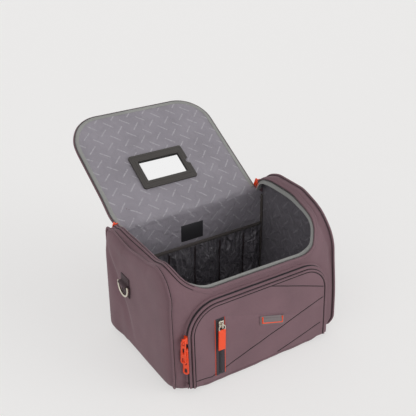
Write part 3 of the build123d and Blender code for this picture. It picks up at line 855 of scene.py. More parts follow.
def dark_webbing():
    # The ring tabs' webbing, doubled and sewn flat, a deep brown
    return woven("Polyester webbing, deep brown", [c * 0.34 for c in colours().fabric], 0.0016, bump=0.7)


def webbing():
    # Flat polyester webbing in the case's taupe, ribbed along its length
    return woven("Polyester webbing, taupe", [c * 0.86 for c in colours().fabric], 0.0016, bump=0.7)


# Pieces


class CASE_OT_shell(bpy.types.Operator):
    """Wraps the outer cloth round the case, with its back and its base"""

    bl_idname = "case.shell"
    bl_label = "Outer cloth"

    def execute(self, context):
        rows = 34

        def wrapped(a, b):
            x, v = at_share(EDGE, a)
            far_x, far_v = at_share(SEAM, a)
            x, v = x + (far_x - x) * b, v + (far_v - v) * b
            return wall_point(x, v, skin(x, v)), (x, v)

        gusset = cloth("case_wrap", len(EDGE) - 1, rows, wrapped, (0, 0, 90), thickness=CLOTH_MM)
        dress(gusset, outer_cloth(), "case", ["gusset"])

        def back(a, b):
            x, v = HALF_WIDTH * (2 * a - 1), -10 + (HINGE_V + 8) * b
            edge = min(HALF_WIDTH - abs(x), 30)
            swell = 1.2 * smooth(0, 26, edge) - 1.0 + 0.8 * ripple(x, v, 40, 5.1)
            return wall_point(x, v, min(swell, 0.6)), (x, v)

        panel = cloth("case_back", 90, 56, back, (0, 0, 90), thickness=CLOTH_MM)
        dress(panel, outer_cloth(), "case", ["back_panel"])

        def base(a, b):
            x, v = HALF_WIDTH * (1 - 2 * a), FOOT_V + (BASE_V - FOOT_V) * b
            return wall_point(x, v, 0.0), (x, v)

        floor = cloth("case_base", 60, 40, base, (0, 0, 90), thickness=2.6)
        dress(floor, outer_cloth(), "case", ["base_panel"])
        return {"FINISHED"}


def from_edge(y, z):
    """How far inside the end outline a point lies, with the corners eased."""
    lean = math.atan(LEAN)
    gaps = [HALF_DEPTH - y, HEIGHT - z, (y + HALF_DEPTH - LEAN * z) * math.cos(lean), z]
    if y < FRONT_ARC_Y and z > HEIGHT - FRONT_RADIUS:
        gaps.append(FRONT_RADIUS - math.hypot(y - FRONT_ARC_Y, z - HEIGHT + FRONT_RADIUS))
    if y > HALF_DEPTH - BACK_RADIUS and z > HEIGHT - BACK_RADIUS:
        gaps.append(BACK_RADIUS - math.hypot(y - HALF_DEPTH + BACK_RADIUS, z - HEIGHT + BACK_RADIUS))
    soft = 7.0
    low = min(gaps)
    return max(low - soft * math.log(sum(math.exp((low - g) / soft) for g in gaps)) * (1 - math.exp(-low / 20)), 0.0)


class CASE_OT_ends(bpy.types.Operator):
    """Makes the two padded ends and the piping round them"""

    bl_idname = "case.ends"
    bl_label = "Padded ends and piping"

    def execute(self, context):
        corners = [-4.0, HEIGHT - BACK_RADIUS - FOOT_RADIUS + 22, FRONT_ARC_V + 46, FOOT_V - 6, ROUND - 4]
        for side, name in ((-1, "left"), (1, "right")):

            def end(a, b, side=side):
                i, j = 2 * a - 1, 2 * b - 1
                r = max(abs(i), abs(j), 1e-6)
                i, j = i / r, j / r
                if i >= 1 - 1e-9:
                    quarter, share = 0, (j + 1) / 2
                elif j >= 1 - 1e-9:
                    quarter, share = 1, (1 - i) / 2
                elif i <= -1 + 1e-9:
                    quarter, share = 2, (1 - j) / 2
                else:
                    quarter, share = 3, (i + 1) / 2
                v = corners[quarter] + (corners[quarter + 1] - corners[quarter]) * share
                edge_y, edge_z = dome(v)
                y, z = edge_y * r, 98 + (edge_z - 98) * r
                gap = from_edge(y, z)
                full = 9.0 + (3.6 * smooth(50, 78, y) * (1 - smooth(150, 190, z)) if side < 0 else 0.0)
                crown = full * (1 - math.exp(-gap / (6.0 if y > 40 else 8.0)))
                tab = math.exp(-(((y - 28) / 26) ** 4) - ((z - 122) / 30) ** 4)
                dent = 4.6 * math.exp(-(((y - 30 - 0.58 * (z - 60)) / 10.5) ** 2)) * smooth(10, 90, z)
                dent += sizes().wrinkle / MM * (0.8 - ripple(y, z, 36, 11.3 + side))
                x = HALF_WIDTH + crown - dent * smooth(2, 30, gap) * (1 - 0.9 * tab)
                return slumped(side * min(x, HALF_WIDTH + full - 0.1), y, z), (y * side, z)

            panel = cloth(name + "_end", 76, 76, end, (0, 0, 95), thickness=2.6)
            dress(panel, outer_cloth(), "case", [name + "_end_panel"])
            loops = []
            for x, out, radius in ((152.7, 0.7, 1.75), (150.3, 0.25, 0.66 if side < 0 else 0.5)):
                line = [slumped(side * x, *dome(ROUND * k / 300, out)) for k in range(300)]
                loops.append((line, radius))
            piping = round_cord(name + "_piping_cord", [loops[0][0]], loops[0][1], closed=True)
            dress(piping, outer_cloth(), "case", [name + "_piping"], angle=80)
            # A thin dark cord beside the piping is painted shade in the seam's groove
            shade = round_cord(name + "_seam_shade_cord", [loops[1][0]], loops[1][1], closed=True)
            dress(shade, seam_shade_cloth(), "case", angle=80)
        return {"FINISHED"}


def edge_strip(name, profile, left_profile, heart=(0, 0, 120), outward=True, lift=True):
    """A strip along the opening's edge. A profile gives points inward of the edge and outward of the wall.

    The left run has a profile of its own, which the corner turns into the other one.
    """
    last = len(EDGE) - 1

    def laid(a, b):
        k = round(a * last)
        (x, v), (dx, dv) = EDGE[k], EDGE_IN[k]
        d, out = at_share(profile, b)
        left_d, left_out = at_share(left_profile, b)
        share = smooth(last - SIDE_STEPS - CORNER_STEPS, last - SIDE_STEPS - 6, k)
        d, out = d + (left_d - d) * share, out + (left_out - out) * share
        px, pv = x + dx * d, v + dv * d
        return wall_point(px, pv, out + (skin(x, v) if lift else 0.0)), (a * 640, b * 12)

    return cloth(name, last, (len(profile) - 1) * 2, laid, heart, outward)


def edge_line(d, out):
    """A line along the opening's edge, inward of it by d and outward of the wall by out."""
    found = []
    for (x, v), (dx, dv) in zip(EDGE, EDGE_IN):
        found.append(wall_point(x + dx * d, v + dv * d, out + skin(x, v)))
    return found


class CASE_OT_main_zip(bpy.types.Operator):
    """Sews the folded cloth, the coil and the grey tape along the opening's edge"""

    bl_idname = "case.main_zip"
    bl_label = "Main zip on the case"

    def execute(self, context):
        fold = [
            (-6.5, 0.05),
            (-6.1, 0.75),
            (-4.6, 1.0),
            (-2.6, 1.1),
            (-1.4, 1.1),
            (-0.6, 1.0),
            (-0.1, 0.7),
            (0.1, 0.2),
            (0.1, -0.4),
            (-0.1, -0.9),
        ]
        doubled = [
            (-5.0, 0.05),
            (-4.7, 0.9),
            (-3.4, 1.5),
            (-1.8, 1.3),
            (-1.0, 0.4),
            (-0.6, 0.3),
            (-0.1, 1.2),
            (1.1, 1.5),
            (2.2, 0.6),
            (2.5, -1.6),
        ]
        placket = edge_strip("zip_fold", fold, doubled)
        dress(placket, outer_cloth(), "case", ["main_zip_tape"])
        sewn = stitches(
            "zip_fold_stitches",
            [edge_line(-4.4, 1.12)[: len(EDGE) - SIDE_STEPS - CORNER_STEPS + 1]],
            lambda p: Vector((0, p.y * 0.2, max(p.z - 120, 10))).normalized(),
        )
        dress(sewn, thread_material(), "case")
        left = slice(len(EDGE) - SIDE_STEPS - 20, len(EDGE))
        lines = [edge_line(-0.8, 0.55)[left], edge_line(-5.3, 0.3)[left]]
        # Dark cords in the two folds of the left rim are painted shade in those folds
        creases = round_cord("zip_fold_crease_shade", lines, 0.7)
        dress(creases, seam_shade_cloth(), "case", angle=80)
        chain = teeth(
            "main_coil",
            edge_line(0.75, -2.0)[: len(EDGE) - SIDE_STEPS - 4],
            lambda p: Vector((0, min(p.y + 35, 0) * 0.9, max(p.z - 150, 5))).normalized(),
        )
        dress(chain, coil_plastic(), "case", ["main_zip_coil"])
        tape = [
            (-6.2, -7.0),
            (-1.5, -7.6),
            (1.6, -8.4),
            (2.7, -8.5),
            (3.0, -8.0),
            (2.2, -6.6),
            (0.9, -4.6),
            (-0.4, -2.4),
        ]
        tucked = [
            (-6.2, -7.0),
            (-1.5, -7.8),
            (1.2, -8.6),
            (1.9, -8.5),
            (2.0, -8.0),
            (1.6, -7.0),
            (0.8, -5.8),
            (0.0, -4.6),
        ]
        band = edge_strip("rim_tape", tape, tucked, (0, 0, 400), outward=False, lift=False)
        change(band, "SOLIDIFY", thickness=0.5 * MM, offset=0.0)
        dress(band, grosgrain(), "case", ["rim_binding"])
        return {"FINISHED"}


class CASE_OT_lining(bpy.types.Operator):
    """Hangs the lining inside, with its board, corner bindings and bare label"""

    bl_idname = "case.lining"
    bl_label = "Lining"

    def execute(self, context):
        # The wrap and the ends use a copy darkened as painted shade for the shaded inside of the case
        cloth_lining = dash_lining("Polyester taffeta lining, grey")
        shade_painted_lining = dash_lining("Polyester taffeta lining, painted shade", 0.52, 0.005, 0.42)

        def wrapped(a, b):
            x, v = at_share(EDGE, a)
            far_x, far_v = at_share(SEAM, a)
            far_x *= LINING_HALF / HALF_WIDTH
            x, v = x + (far_x - x) * b, v + (far_v - v) * b
            out = -5.6 + 0.7 * ripple(x, v, 26, 21.0) * smooth(0, 0.15, b)
            return wall_point(x, v, out), (x, v)

        wrap = cloth("lining_wrap", len(EDGE) - 1, 30, wrapped, (0, 0, 100), False, LINING_MM)
        dress(wrap, shade_painted_lining, "case", ["gusset_lining"])

        def back(a, b):
            x, z = LINING_HALF * (1 - 2 * a), 6.0 + 168 * b
            y = 98.2 - (0.5 + 0.6 * ripple(x, z, 30, 4.4)) * smooth(118, 128, z)
            return (x, y, z), (x, z)

        wall = cloth("lining_back", 100, 60, back, (0, 0, 90), False, LINING_MM)
        dress(wall, cloth_lining, "case", ["back_lining"])

        def base(a, b):
            x, y = 149 * (2 * a - 1), -93 + 185 * b
            return (x, y, 7.0 + 0.5 * ripple(x, y, 50, 9.1)), (x, y)

        floor = cloth("lining_base", 60, 40, base, (0, 0, 100), False, LINING_MM)
        dress(floor, cloth_lining, "case", ["base_lining"])
        for side, name in ((-1, "left"), (1, "right")):

            def end(a, b, side=side):
                v = HINGE_V - 8 + (FOOT_V - HINGE_V + 8) * a
                y, z = dome(v, -5.3)
                y0, z0 = 97.0 - 190.0 * smooth(HINGE_V - 8, FOOT_V, v), 7.0
                y, z = y0 + (y - y0) * b, z0 + (z - z0) * b
                bulge = 1.3 + 1.6 * ripple(y + 0.12 * z, z * 0.3, 17, 14.0 + side) * smooth(0, 0.12, b)
                return slumped(side * (149.1 - max(bulge, 0.0)), y, z, 4.5), (y * side, z)

            panel = cloth(name + "_lining_cloth", 90, 44, end, (0, 0, 95), False, 0.6)
            dress(panel, shade_painted_lining, "case", [name + "_lining"])
        corners = []
        for side in (-1, 1):
            line = [(side * (146.4 + 0.4 * math.sin(z / 9)), 96.2, z) for z in range(8, 172, 6)]
            corners.append(line)
        bound = round_cord("corner_binding_rolls", corners, 2.4)
        dress(bound, bias_binding(), "case", ["corner_bindings"])
        label = soft_edged("lining_label", 0.3, name="bare_label")
        dress(label, label_satin(), "case", ["lining_label"])
        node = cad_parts["base_board"]
        node.data.materials.clear()
        node.data.materials.append(board())
        return {"FINISHED"}


class CASE_OT_gathered_pockets(bpy.types.Operator):
    """Gathers the pockets along the back under their elastic"""

    bl_idname = "case.gathered_pockets"
    bl_label = "Gathered pockets"

    def execute(self, context):
        stops = [-ROW_HALF, -97.0, -46.0, 5.0, 56.0, 107.0, ROW_HALF]

        def bag(x, z):
            """How far a pocket stands out from the back."""
            k = max(i for i in range(6) if x >= stops[i] - 1e-6)
            low, high = stops[k], stops[k + 1]
            share = min(max((x - low) / (high - low), 0.0), 1.0)
            arch = math.sin(math.pi * share) ** 0.6
            full = 0.45 + 0.55 * (1 - smooth(72, 112, z))
            pleat = math.sin(x * 2 * math.pi / 9.3 + 1.4 * math.sin(z / 19 + k)) * smooth(38, 108, z)
            crease = ripple(x * 1.7 + 12 * ripple(x, z, 25, 3.0), z * 0.6, 11, 30.0 + k)
            loose = sizes().billow / MM * arch * full + (1.5 * pleat + 3.6 * crease) * arch
            taut = 3.6 + 0.7 * pleat
            return loose + (taut - loose) * smooth(98, 112, z)

        def gathered(a, b):
            x, z = -ROW_HALF + 290.0 * a, 7.2 + 105.3 * b
            y = 97.0 - max(bag(x, z), 0.15)
            return (x, max(y, ROW_FRONT_Y), z), (x * 1.45, z * 1.02)

        bags = cloth("gathered_cloth", 230, 60, gathered, (0, 400, 60), True, 0.6)
        # The pockets' lining is the same cloth darkened as painted shade deep inside the case
        deep_shade_lining = dash_lining("Polyester taffeta lining, painted deep shade", 0.44, 0.014, 0.3)
        dress(bags, deep_shade_lining, "case", ["gathered_pockets"])

        def elastic(a, b):
            x, z = -ROW_HALF + 290.0 * a, 111.6 + 6.6 * b
            y = 92.9 - 0.8 * math.sin(math.pi * b) - 0.2 * math.sin(x * 2.4) + 2.5 * smooth(138, 145, abs(x))
            return (x, max(y, ROW_FRONT_Y), z), (x * 1.4, z)

        band = cloth("pocket_elastic_band", 230, 6, elastic, (0, 400, 115), True, 1.4)
        dress(band, ribbed_elastic(), "case", ["pocket_elastic"])
        # Thick dark cords at the dividers are painted shade in the gaps between the pockets
        seams = [[(x + 0.9 * math.sin(z / 11 + x), 95.4, z) for z in range(9, 112, 4)] for x in stops[1:-1]]
        sewn = round_cord("pocket_divider_shade", seams, 1.5)
        dress(sewn, seam_shade_cloth(), "case")
        return {"FINISHED"}


def lid_half(s):
    """Half the lid's width at a distance from the hinge."""
    start = LID_LENGTH - LID_CORNER
    if s <= start:
        return LID_HALF
    rest = min((s - start) / LID_CORNER, 1.0)
    return LID_HALF - LID_CORNER + LID_CORNER * math.sqrt(max(1 - rest * rest, 0.0))


def lid_steps(start, end):
    """Distances from the hinge, closer together where the corners turn."""
    corner = LID_LENGTH - LID_CORNER
    flat_end = min(end, corner)
    count = max(round((flat_end - start) / 3.0), 1)
    found = [start + (flat_end - start) * k / count for k in range(count + 1)]
    if end > corner:
        turn = 26
        found += [corner + LID_CORNER * math.sin(math.pi / 2 * k / turn) for k in range(1, turn + 1)]
    return found


def lid_edge(start, end):
    """The lid's outline between two distances, as lines of (x, s, step x, step s)."""
    right = []
    for s in lid_steps(start, end):
        half = lid_half(s)
        if s <= LID_LENGTH - LID_CORNER:
            right.append((half, s, 1.0, 0.0))
        else:
            lift = min((s - LID_LENGTH + LID_CORNER) / LID_CORNER, 1.0)
            right.append((half, s, math.sqrt(1 - lift * lift), lift))
    if end < LID_LENGTH - 1:
        return [right, [(-x, s, -dx, ds) for x, s, dx, ds in right]]
    last = right[-1]
    across = [(last[0] * (1 - k / 25), last[1], 0.0, 1.0) for k in range(1, 51)]
    return [right + across[:-1] + [(-x, s, -dx, ds) for x, s, dx, ds in reversed(right)]]


# Each length of the lid: its name, its start and end from the hinge, its two bodies, where the bend between
# them starts and ends, its outer thickness, and the CAD nodes of its panel, lining, tape and coil
LID_PARTS = (
    ("rear", 0.0, 18.0, ("case", "lid_rear"), (-5.0, 18.0), 1.6, ("lid_rear_panel", "lid_rear_lining")),
    (
        "middle",
        18.0,
        90.0,
        ("lid_rear", "lid_top"),
        (20.0, 52.0),
        3.6,
        ("lid_top_panel", "lid_top_lining", "lid_top_binding", "lid_top_coil"),
    ),
    (
        "front",
        90.0,
        LID_LENGTH,
        ("lid_top", "lid_front"),
        (128.0, 195.0),
        3.6,
        ("lid_front_panel", "lid_front_lining", "lid_front_binding", "lid_front_coil"),
    ),
)


class CASE_OT_lid(bpy.types.Operator):
    """Makes the padded lid in three lengths, split where its joints are"""

    bl_idname = "case.lid"
    bl_label = "Lid"

    def execute(self, context):
        heart = tuple(lid(0, 110, 2.5))
        above = lid(0, 110, 200)
        up = lid(0, 0, 1) - lid(0, 0, 0)
        for name, start, end, bodies, bends, thick, nodes in LID_PARTS:
            bend = (*bodies, *(lid(0, spot, 0) * MM for spot in bends))
            steps = lid_steps(start, end)

            def outer(a, b, steps=steps):
                s = at_share([(k,) for k in steps], b)[0]
                half = lid_half(s)
                x = (2 * a - 1) * half
                gap = min(half - abs(x), LID_LENGTH - s)
                swell = 0.9 * smooth(0, 22, gap) + 0.7 * ripple(x, s, 40, 3.3) * smooth(4, 30, gap)
                return lid(x, s, 0.9 - swell * 0.9), (x, s)

            slab = cloth("lid_cloth_" + name, 88, len(steps) - 1, outer, above, True, thick)
            dress(slab, outer_cloth(), None, nodes[:1], bend)
            inner_start = -16.0 if name == "rear" else start
            inner_steps = lid_steps(inner_start, end)

            def inner(a, b, inner_steps=inner_steps):
                s = at_share([(k,) for k in inner_steps], b)[0]
                half = lid_half(max(s, 0.0)) - 1.0 if s > 0 else LID_HALF + min(-s, 16)
                x = (2 * a - 1) * half
                gap = min(half - abs(x), LID_LENGTH - s)
                calm = math.exp(-(((x + 8) / 58) ** 6) - ((s - 88) / 42) ** 6)
                swell = 0.35 + 1.1 * ripple(x + 0.5 * s, s, 25, 8.8) + 0.4 * ripple(x, s, 11, 1.9)
                low_left = smooth(-40, -100, x) * smooth(0, 24, s) * (1 - smooth(60, 110, s))
                swell -= 1.8 * low_left * max(ripple(x * 0.9 + s, s * 0.35, 12, 5.2), -0.3)
                swell *= smooth(0, 14, gap)
                if s < 14:
                    share = (s + 16) / 30
                    start = Vector((x, 97.6, 172.5))
                    knee = Vector((x, 95.8 + 0.9 * ripple(x, 0, 24, 6.6), 188.2))
                    knee.z -= HINGE_Z - lid(x, 0, 0).z
                    finish = lid(x, 14, 4.9)
                    first, second = start.lerp(knee, share), knee.lerp(finish, share)
                    return first.lerp(second, share), (x, s)
                rise = 1.1 * swell * (1 - calm)
                way_out = smooth(30, 50, x) * (1 - smooth(106, 118, x)) * smooth(50, 58, s) * (1 - smooth(118, 126, s))
                rise += (min(rise, 0.1) - rise) * way_out
                return lid(x, s, 4.9 + rise), (x, s)

            face = cloth("lid_lining_" + name, 96, len(inner_steps) - 1, inner, above, False, 0.6)
            dress(face, dash_lining("Polyester taffeta lining, grey"), None, nodes[1:2], bend)
            tapes, rolls, coils = [], [], []
            for number, line in enumerate(lid_edge(max(start, 1.0), end)):
                profile = [(-6.8, 5.2), (-6.4, 5.7), (-3.4, 6.0), (-1.2, 5.7), (-0.3, 5.0), (0.0, 3.6)]

                def band(a, b, line=line, profile=profile):
                    x, s, dx, ds = at_share(line, a)
                    d, t = at_share(profile, b)
                    return lid(x + dx * d, s + ds * d, t), (a * 300, b * 10)

                tapes.append(cloth(f"lid_tape_{name}_{number}", len(line) - 1, 10, band, heart, True, 0.5))
                rolls.append([lid(x + 1.5 * dx, s + 1.5 * ds, 2.6) for x, s, dx, ds in line])
                coils.append([lid(x + 0.5 * dx, s + 0.5 * ds, 4.9) for x, s, dx, ds in line])
            tape = joined("lid_tape_" + name, tapes)
            dress(tape, grosgrain(), None, nodes[2:3], bend)
            roll = round_cord("lid_rolled_edge_" + name, rolls, 1.55)
            dress(roll, outer_cloth(), None, (), bend, angle=80)
            chain = joined(
                "lid_coil_" + name, [teeth(f"lid_coil_{name}_{k}", line, up) for k, line in enumerate(coils)]
            )
            dress(chain, coil_plastic(), None, nodes[3:], bend)
        return {"FINISHED"}


class CASE_OT_mirror(bpy.types.Operator):
    """Finishes the mirror's frame and its card"""

    bl_idname = "case.mirror"
    bl_label = "Mirror"

    def execute(self, context):
        shift = lid(-1.6, 86.0, 0) - lid(0, 88.2, 0)
        surround = soft_edged("mirror_frame", 1.1, 3, "mirror_surround")
        surround.data.transform(Matrix.Translation(shift * MM))
        dress(surround, vinyl(), "lid_top", ["mirror_frame"])

        def ring(x0, x1, s0, s1, t):
            corners = ((x0, s0), (x1, s0), (x1, s1), (x0, s1))
            return [lid(x, s, t) + shift for x, s in corners]

        up = lid(0, 0, 1) - lid(0, 0, 0)
        rows = ring(-56, 40, 56, 120, LID_DEPTH + 3.45)
        sewn = stitches("mirror_stitches", [rows + rows[:1]], up)
        dress(sewn, black_thread(), "lid_top")
        welts = round_cord("mirror_welts", [ring(-51.2, 35.2, 62.4, 113.6, LID_DEPTH + 3.2)], 0.75, closed=True)
        dress(welts, vinyl(), "lid_top", angle=60)
        # A black cord round the window: the frame's dark inner side and painted shadow on the mirror
        lip = round_cord("mirror_lip_shadow", [ring(-46.6, 30.6, 67.4, 108.6, LID_DEPTH + 2.3)], 0.9, closed=True)
        dress(lip, vinyl_edge_shadow(), "lid_top", angle=60)
        card = soft_edged("mirror_glass", 0.3, 2, "mirror_sheet")
        card.data.transform(Matrix.Translation(shift * MM))
        dress(card, mirror_glass(), "mirror_card", ["mirror_glass"])
        return {"FINISHED"}


class CASE_OT_handle(bpy.types.Operator):
    """Finishes the webbing handle and its two sewn anchors"""

    bl_idname = "case.handle"
    bl_label = "Carrying handle"

    def execute(self, context):
        strap = soft_edged("handle", 0.9, 2, "handle_webbing")
        dress(strap, webbing(), "carry_handle", ["handle"])
        low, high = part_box("handle")
        middle = (low + high) / 2 / MM
        y, z = middle.y, low.z / MM + 2.5

        def sleeve(a, b):
            x = -44 + 88 * a
            share = math.sin(math.pi * min(max(a, 0.0), 1.0)) ** 0.22 if 0 < a < 1 else 0.0
            angle = 2 * math.pi * b
            flat = abs(math.cos(angle)) ** 0.7 * math.copysign(1, math.cos(angle))
            return (x, y + 10.4 * share * flat, z + 4.6 * share * math.sin(angle)), (x, b * 46)

        grip = cloth("handle_sleeve", 44, 24, sleeve, (0, y, z), True, closed=True)
        dress(grip, outer_cloth(), "carry_handle", angle=70)
        patches = soft_edged("handle_anchors", 0.5, 2, "handle_patches")
        dress(patches, webbing(), "lid_top", ["handle_anchors"])
        rows = []
        for side in (-1, 1):
            x0, x1 = side * 88, side * 97.5
            rows.append([lid(*p, -1.75) for p in ((x0, 86), (x1, 86), (x1, 110), (x0, 110), (x0, 86))])
        sewn = stitches("handle_stitches", rows, lid(0, 0, -1) - lid(0, 0, 0))
        dress(sewn, thread_material(), "lid_top")
        return {"FINISHED"}


def pocket_line(inset):
    """The front pocket's outline from the left foot up and round to the right foot: across, up, steps."""
    half = POCKET_HALF - inset
    corner = POCKET_CORNER - inset
    top = POCKET_TOP - inset
    side, turn, across = 30, 28, 40
    rise = top - corner - POCKET_BOTTOM
    found = [(-half, POCKET_BOTTOM + rise * k / side, -1.0, 0.0) for k in range(side)]
    for k in range(turn + 1):
        angle = math.pi / 2 * k / turn
        dx, dv = -math.cos(angle), math.sin(angle)
        found.append((-half + corner + corner * dx, top - corner + corner * dv, dx, dv))
    flat = half - corner
    found += [(-flat + 2 * flat * k / across, top, 0.0, 1.0) for k in range(1, across)]
    found += [(-x, v, -dx, dv) for x, v, dx, dv in reversed(found[: side + turn + 1])]
    return found


def pocket_strip(name, profile, thickness):
    """A strip along the pocket's outline. profile gives points outward of it and off the wall."""
    line = pocket_line(0.0)

    def laid(a, b):
        x, v, dx, dv = line[round(a * (len(line) - 1))]
        d, w = at_share(profile, b)
        return front(x + dx * d, v + dv * d, w), (a * 540, b * 12)

    return cloth(name, len(line) - 1, (len(profile) - 1) * 2, laid, (0, -60, 60), True, thickness)


# The flap's seams as points across and up it. The second is only a groove, and along the others lies a dark cord of
# painted shade
DECOR_SEAMS = (
    ((14, 136), (119, 99.5)),
    ((-62, 111), (61, 70)),
    ((-125, 19), (-94, 15), (119, 80)),
    ((30, 9.5), (115, 33)),
)


def seam_gap(x, v):
    """Distance to the nearest decorative seam."""
    best = 99.0
    for line in DECOR_SEAMS:
        for (ax, av), (bx, bv) in zip(line, line[1:]):
            dx, dv = bx - ax, bv - av
            t = min(max(((x - ax) * dx + (v - av) * dv) / (dx * dx + dv * dv), 0.0), 1.0)
            best = min(best, math.hypot(x - ax - t * dx, v - av - t * dv))
    return best


def flap_gap(x, v):
    """How far inside the flap's outline a point lies."""
    gap = min(POCKET_HALF - FLAP_INSET - abs(x), POCKET_TOP - FLAP_INSET - v)
    cx, cv = POCKET_HALF - POCKET_CORNER, POCKET_TOP - POCKET_CORNER
    if abs(x) > cx and v > cv:
        gap = min(gap, POCKET_CORNER - FLAP_INSET - math.hypot(abs(x) - cx, v - cv))
    return max(gap, 0.0)


def flap_height(x, v):
    """How far the flap's face stands off the wall."""
    gap = flap_gap(x, v)
    rim = 9.5 + 0.1 * smooth(0, 4, gap)
    face = 12.0 - 0.9 * smooth(30, 4, v)
    height = rim + (face - rim) * smooth(4.5, 10.5, gap)
    calm = smooth(0, 14, abs(x - SMALL_ZIP_X) - 10) if v < 122 else 1.0
    calm *= smooth(0, 8, max(abs(x - 17) - 24, abs(v - 70) - 14, 0))
    height -= (0.55 + 0.5 * ripple(x, v, 34, 17.0)) * calm * smooth(10, 26, gap)
    return height - 0.8 * math.exp(-((seam_gap(x, v) / 1.7) ** 2)) * smooth(7, 11, gap)


class CASE_OT_front_pocket(bpy.types.Operator):
    """Makes the front pocket: its band, zip, padded flap, piping and decorative seams"""

    bl_idname = "case.front_pocket"
    bl_label = "Front pocket"

    def execute(self, context):
        band = [(2.2, -3.4), (1.9, 0.6), (1.2, 3.0), (0.0, 4.1), (-1.4, 4.0), (-2.3, 3.0), (-2.4, 0.4)]
        welt = pocket_strip("pocket_band", band, 0.6)
        dress(welt, outer_cloth(), "case", ["pocket_gusset"])
        low_tape = pocket_strip("pocket_tape", [(-0.4, 3.2), (-1.2, 4.4), (-1.4, 5.6)], 0.5)
        dress(low_tape, zip_tape(), "case")
        out = front(0, 0, 1) - front(0, 0, 0)
        line = pocket_line(0.9)
        for name, height, body, node in (
            ("pocket_coil", 4.7, "case", "pocket_zip_coil"),
            ("flap_coil", 7.4, "flap", "flap_zip_coil"),
        ):
            chain = teeth(name, [front(x, v, height) for x, v, _, _ in line], out, (1.0, 1.6, 1.1))
            dress(chain, dark_coil(), body, [node])
        high_tape = pocket_strip("flap_tape", [(-1.6, 6.9), (-1.1, 7.9), (-0.9, 8.6)], 0.5)
        dress(high_tape, zip_tape(), "flap")
        tabs = soft_edged("pocket_zip_tabs", 0.4, 2, "pocket_zip_ends")
        dress(tabs, outer_cloth(), "case", ["pocket_zip_tabs"])

        def face(a, b):
            half = POCKET_HALF - FLAP_INSET
            v = POCKET_BOTTOM + (POCKET_TOP - FLAP_INSET - POCKET_BOTTOM) * b
            corner_v = POCKET_TOP - POCKET_CORNER
            radius = POCKET_CORNER - FLAP_INSET
            if v > corner_v:
                lift = math.sin(math.pi / 2 * min((v - corner_v) / radius, 1.0))
                v = corner_v + radius * lift
                half = POCKET_HALF - POCKET_CORNER + radius * math.sqrt(max(1 - lift * lift, 0))
            x = (2 * a - 1) * half
            return front(x, v, flap_height(x, v)), (x, v)

        flap = cloth("flap_cloth", 200, 108, face, (0, 0, 70), True, 1.5)
        dress(flap, outer_cloth(), "flap", ["flap_panel"])
        line = [front(x, v, flap_height(x, v) + 1.15) for x, v, _, _ in pocket_line(6.9)]
        piping = round_cord("flap_piping_cord", [line], 1.5)
        dress(piping, outer_cloth(), "flap", ["flap_piping"], angle=80)
        # Dark cords in the zip channel round the flap and along its seams are painted shade
        dark = []
        for inset in (4.9, 9.3):
            dark.append([front(x, v, flap_height(x, v) + 0.1) for x, v, _, _ in pocket_line(inset)])
        for seam in (DECOR_SEAMS[0], *DECOR_SEAMS[2:]):
            run = []
            for (ax, av), (bx, bv) in zip(seam, seam[1:]):
                count = max(int(math.hypot(bx - ax, bv - av) / 3), 2)
                run += [(ax + (bx - ax) * k / count, av + (bv - av) * k / count) for k in range(count)]
            run.append(seam[-1])
            dark.append([front(x, v, flap_height(x, v) + 0.12) for x, v in run])
        shade = round_cord("flap_seam_shade_cords", dark, 0.75)
        dress(shade, seam_shade_cloth(), "flap", angle=80)
        return {"FINISHED"}


class CASE_OT_flap_details(bpy.types.Operator):
    """Sews the upright zip, its trims and the bare badge on the flap"""

    bl_idname = "case.flap_details"
    bl_label = "Flap zip and badge"

    def execute(self, context):
        out = front(0, 0, 1) - front(0, 0, 0)
        half = [(2.2, 12.3), (2.6, 12.7), (7.2, 12.5), (7.6, 11.9)]
        tape = [(-d, w) for d, w in reversed(half)] + half

        def upright(d, b, low, length, w):
            """A point beside the small zip's middle, which leans a little as it goes down."""
            return front(SMALL_ZIP_X + d - SMALL_ZIP_LEAN * (1 - b) ** 2, low + length * b, w)

        def sewn(a, b):
            d, w = at_share(tape, a)
            return upright(d, b, 15.5, 98.5, w), (d, 15.5 + 98.5 * b)

        strip = cloth("small_zip_cloth", 28, 40, sewn, (0, 0, 60), True, 0.4)
        dress(strip, zip_tape(), "flap", ["small_zip_tape"])
        coil_line = [upright(0.0, k / 20, 17.5, 94.5, 13.3) for k in range(21)]
        chain = teeth("small_coil", coil_line, out, (1.3, 4.2, 1.4), 2.2)
        dress(chain, dark_coil(), "flap", ["small_zip_coil"])
        trims = [[upright(d, k / 20, 15.9, 97.7, 12.35) for k in range(21)] for d in (-8.4, 8.4)]
        trim = round_cord("orange_piping", trims, 0.42)
        dress(trim, orange_ribbon(), "flap", ["small_zip_trims"], angle=80)
        plate = soft_edged("badge_plate", 0.45, 2, "badge_base")
        dress(plate, badge_rubber(), "flap", ["badge_plate"])
        middle = soft_edged("badge_insert", 0.3, 2, "badge_face")
        dress(middle, badge_rubber(), "flap", ["badge_insert"])

        def slanted(x, v):
            return front(x, v + 0.3 * (40 - x), 13.75)

        border = [slanted(-1.9, 75.2), slanted(-1.9, 64.6), slanted(35.9, 64.6), slanted(35.9, 75.2)]
        rail = round_cord("badge_border", [border], 1.3)
        dress(rail, orange_plastic(), "flap", angle=60)
        return {"FINISHED"}


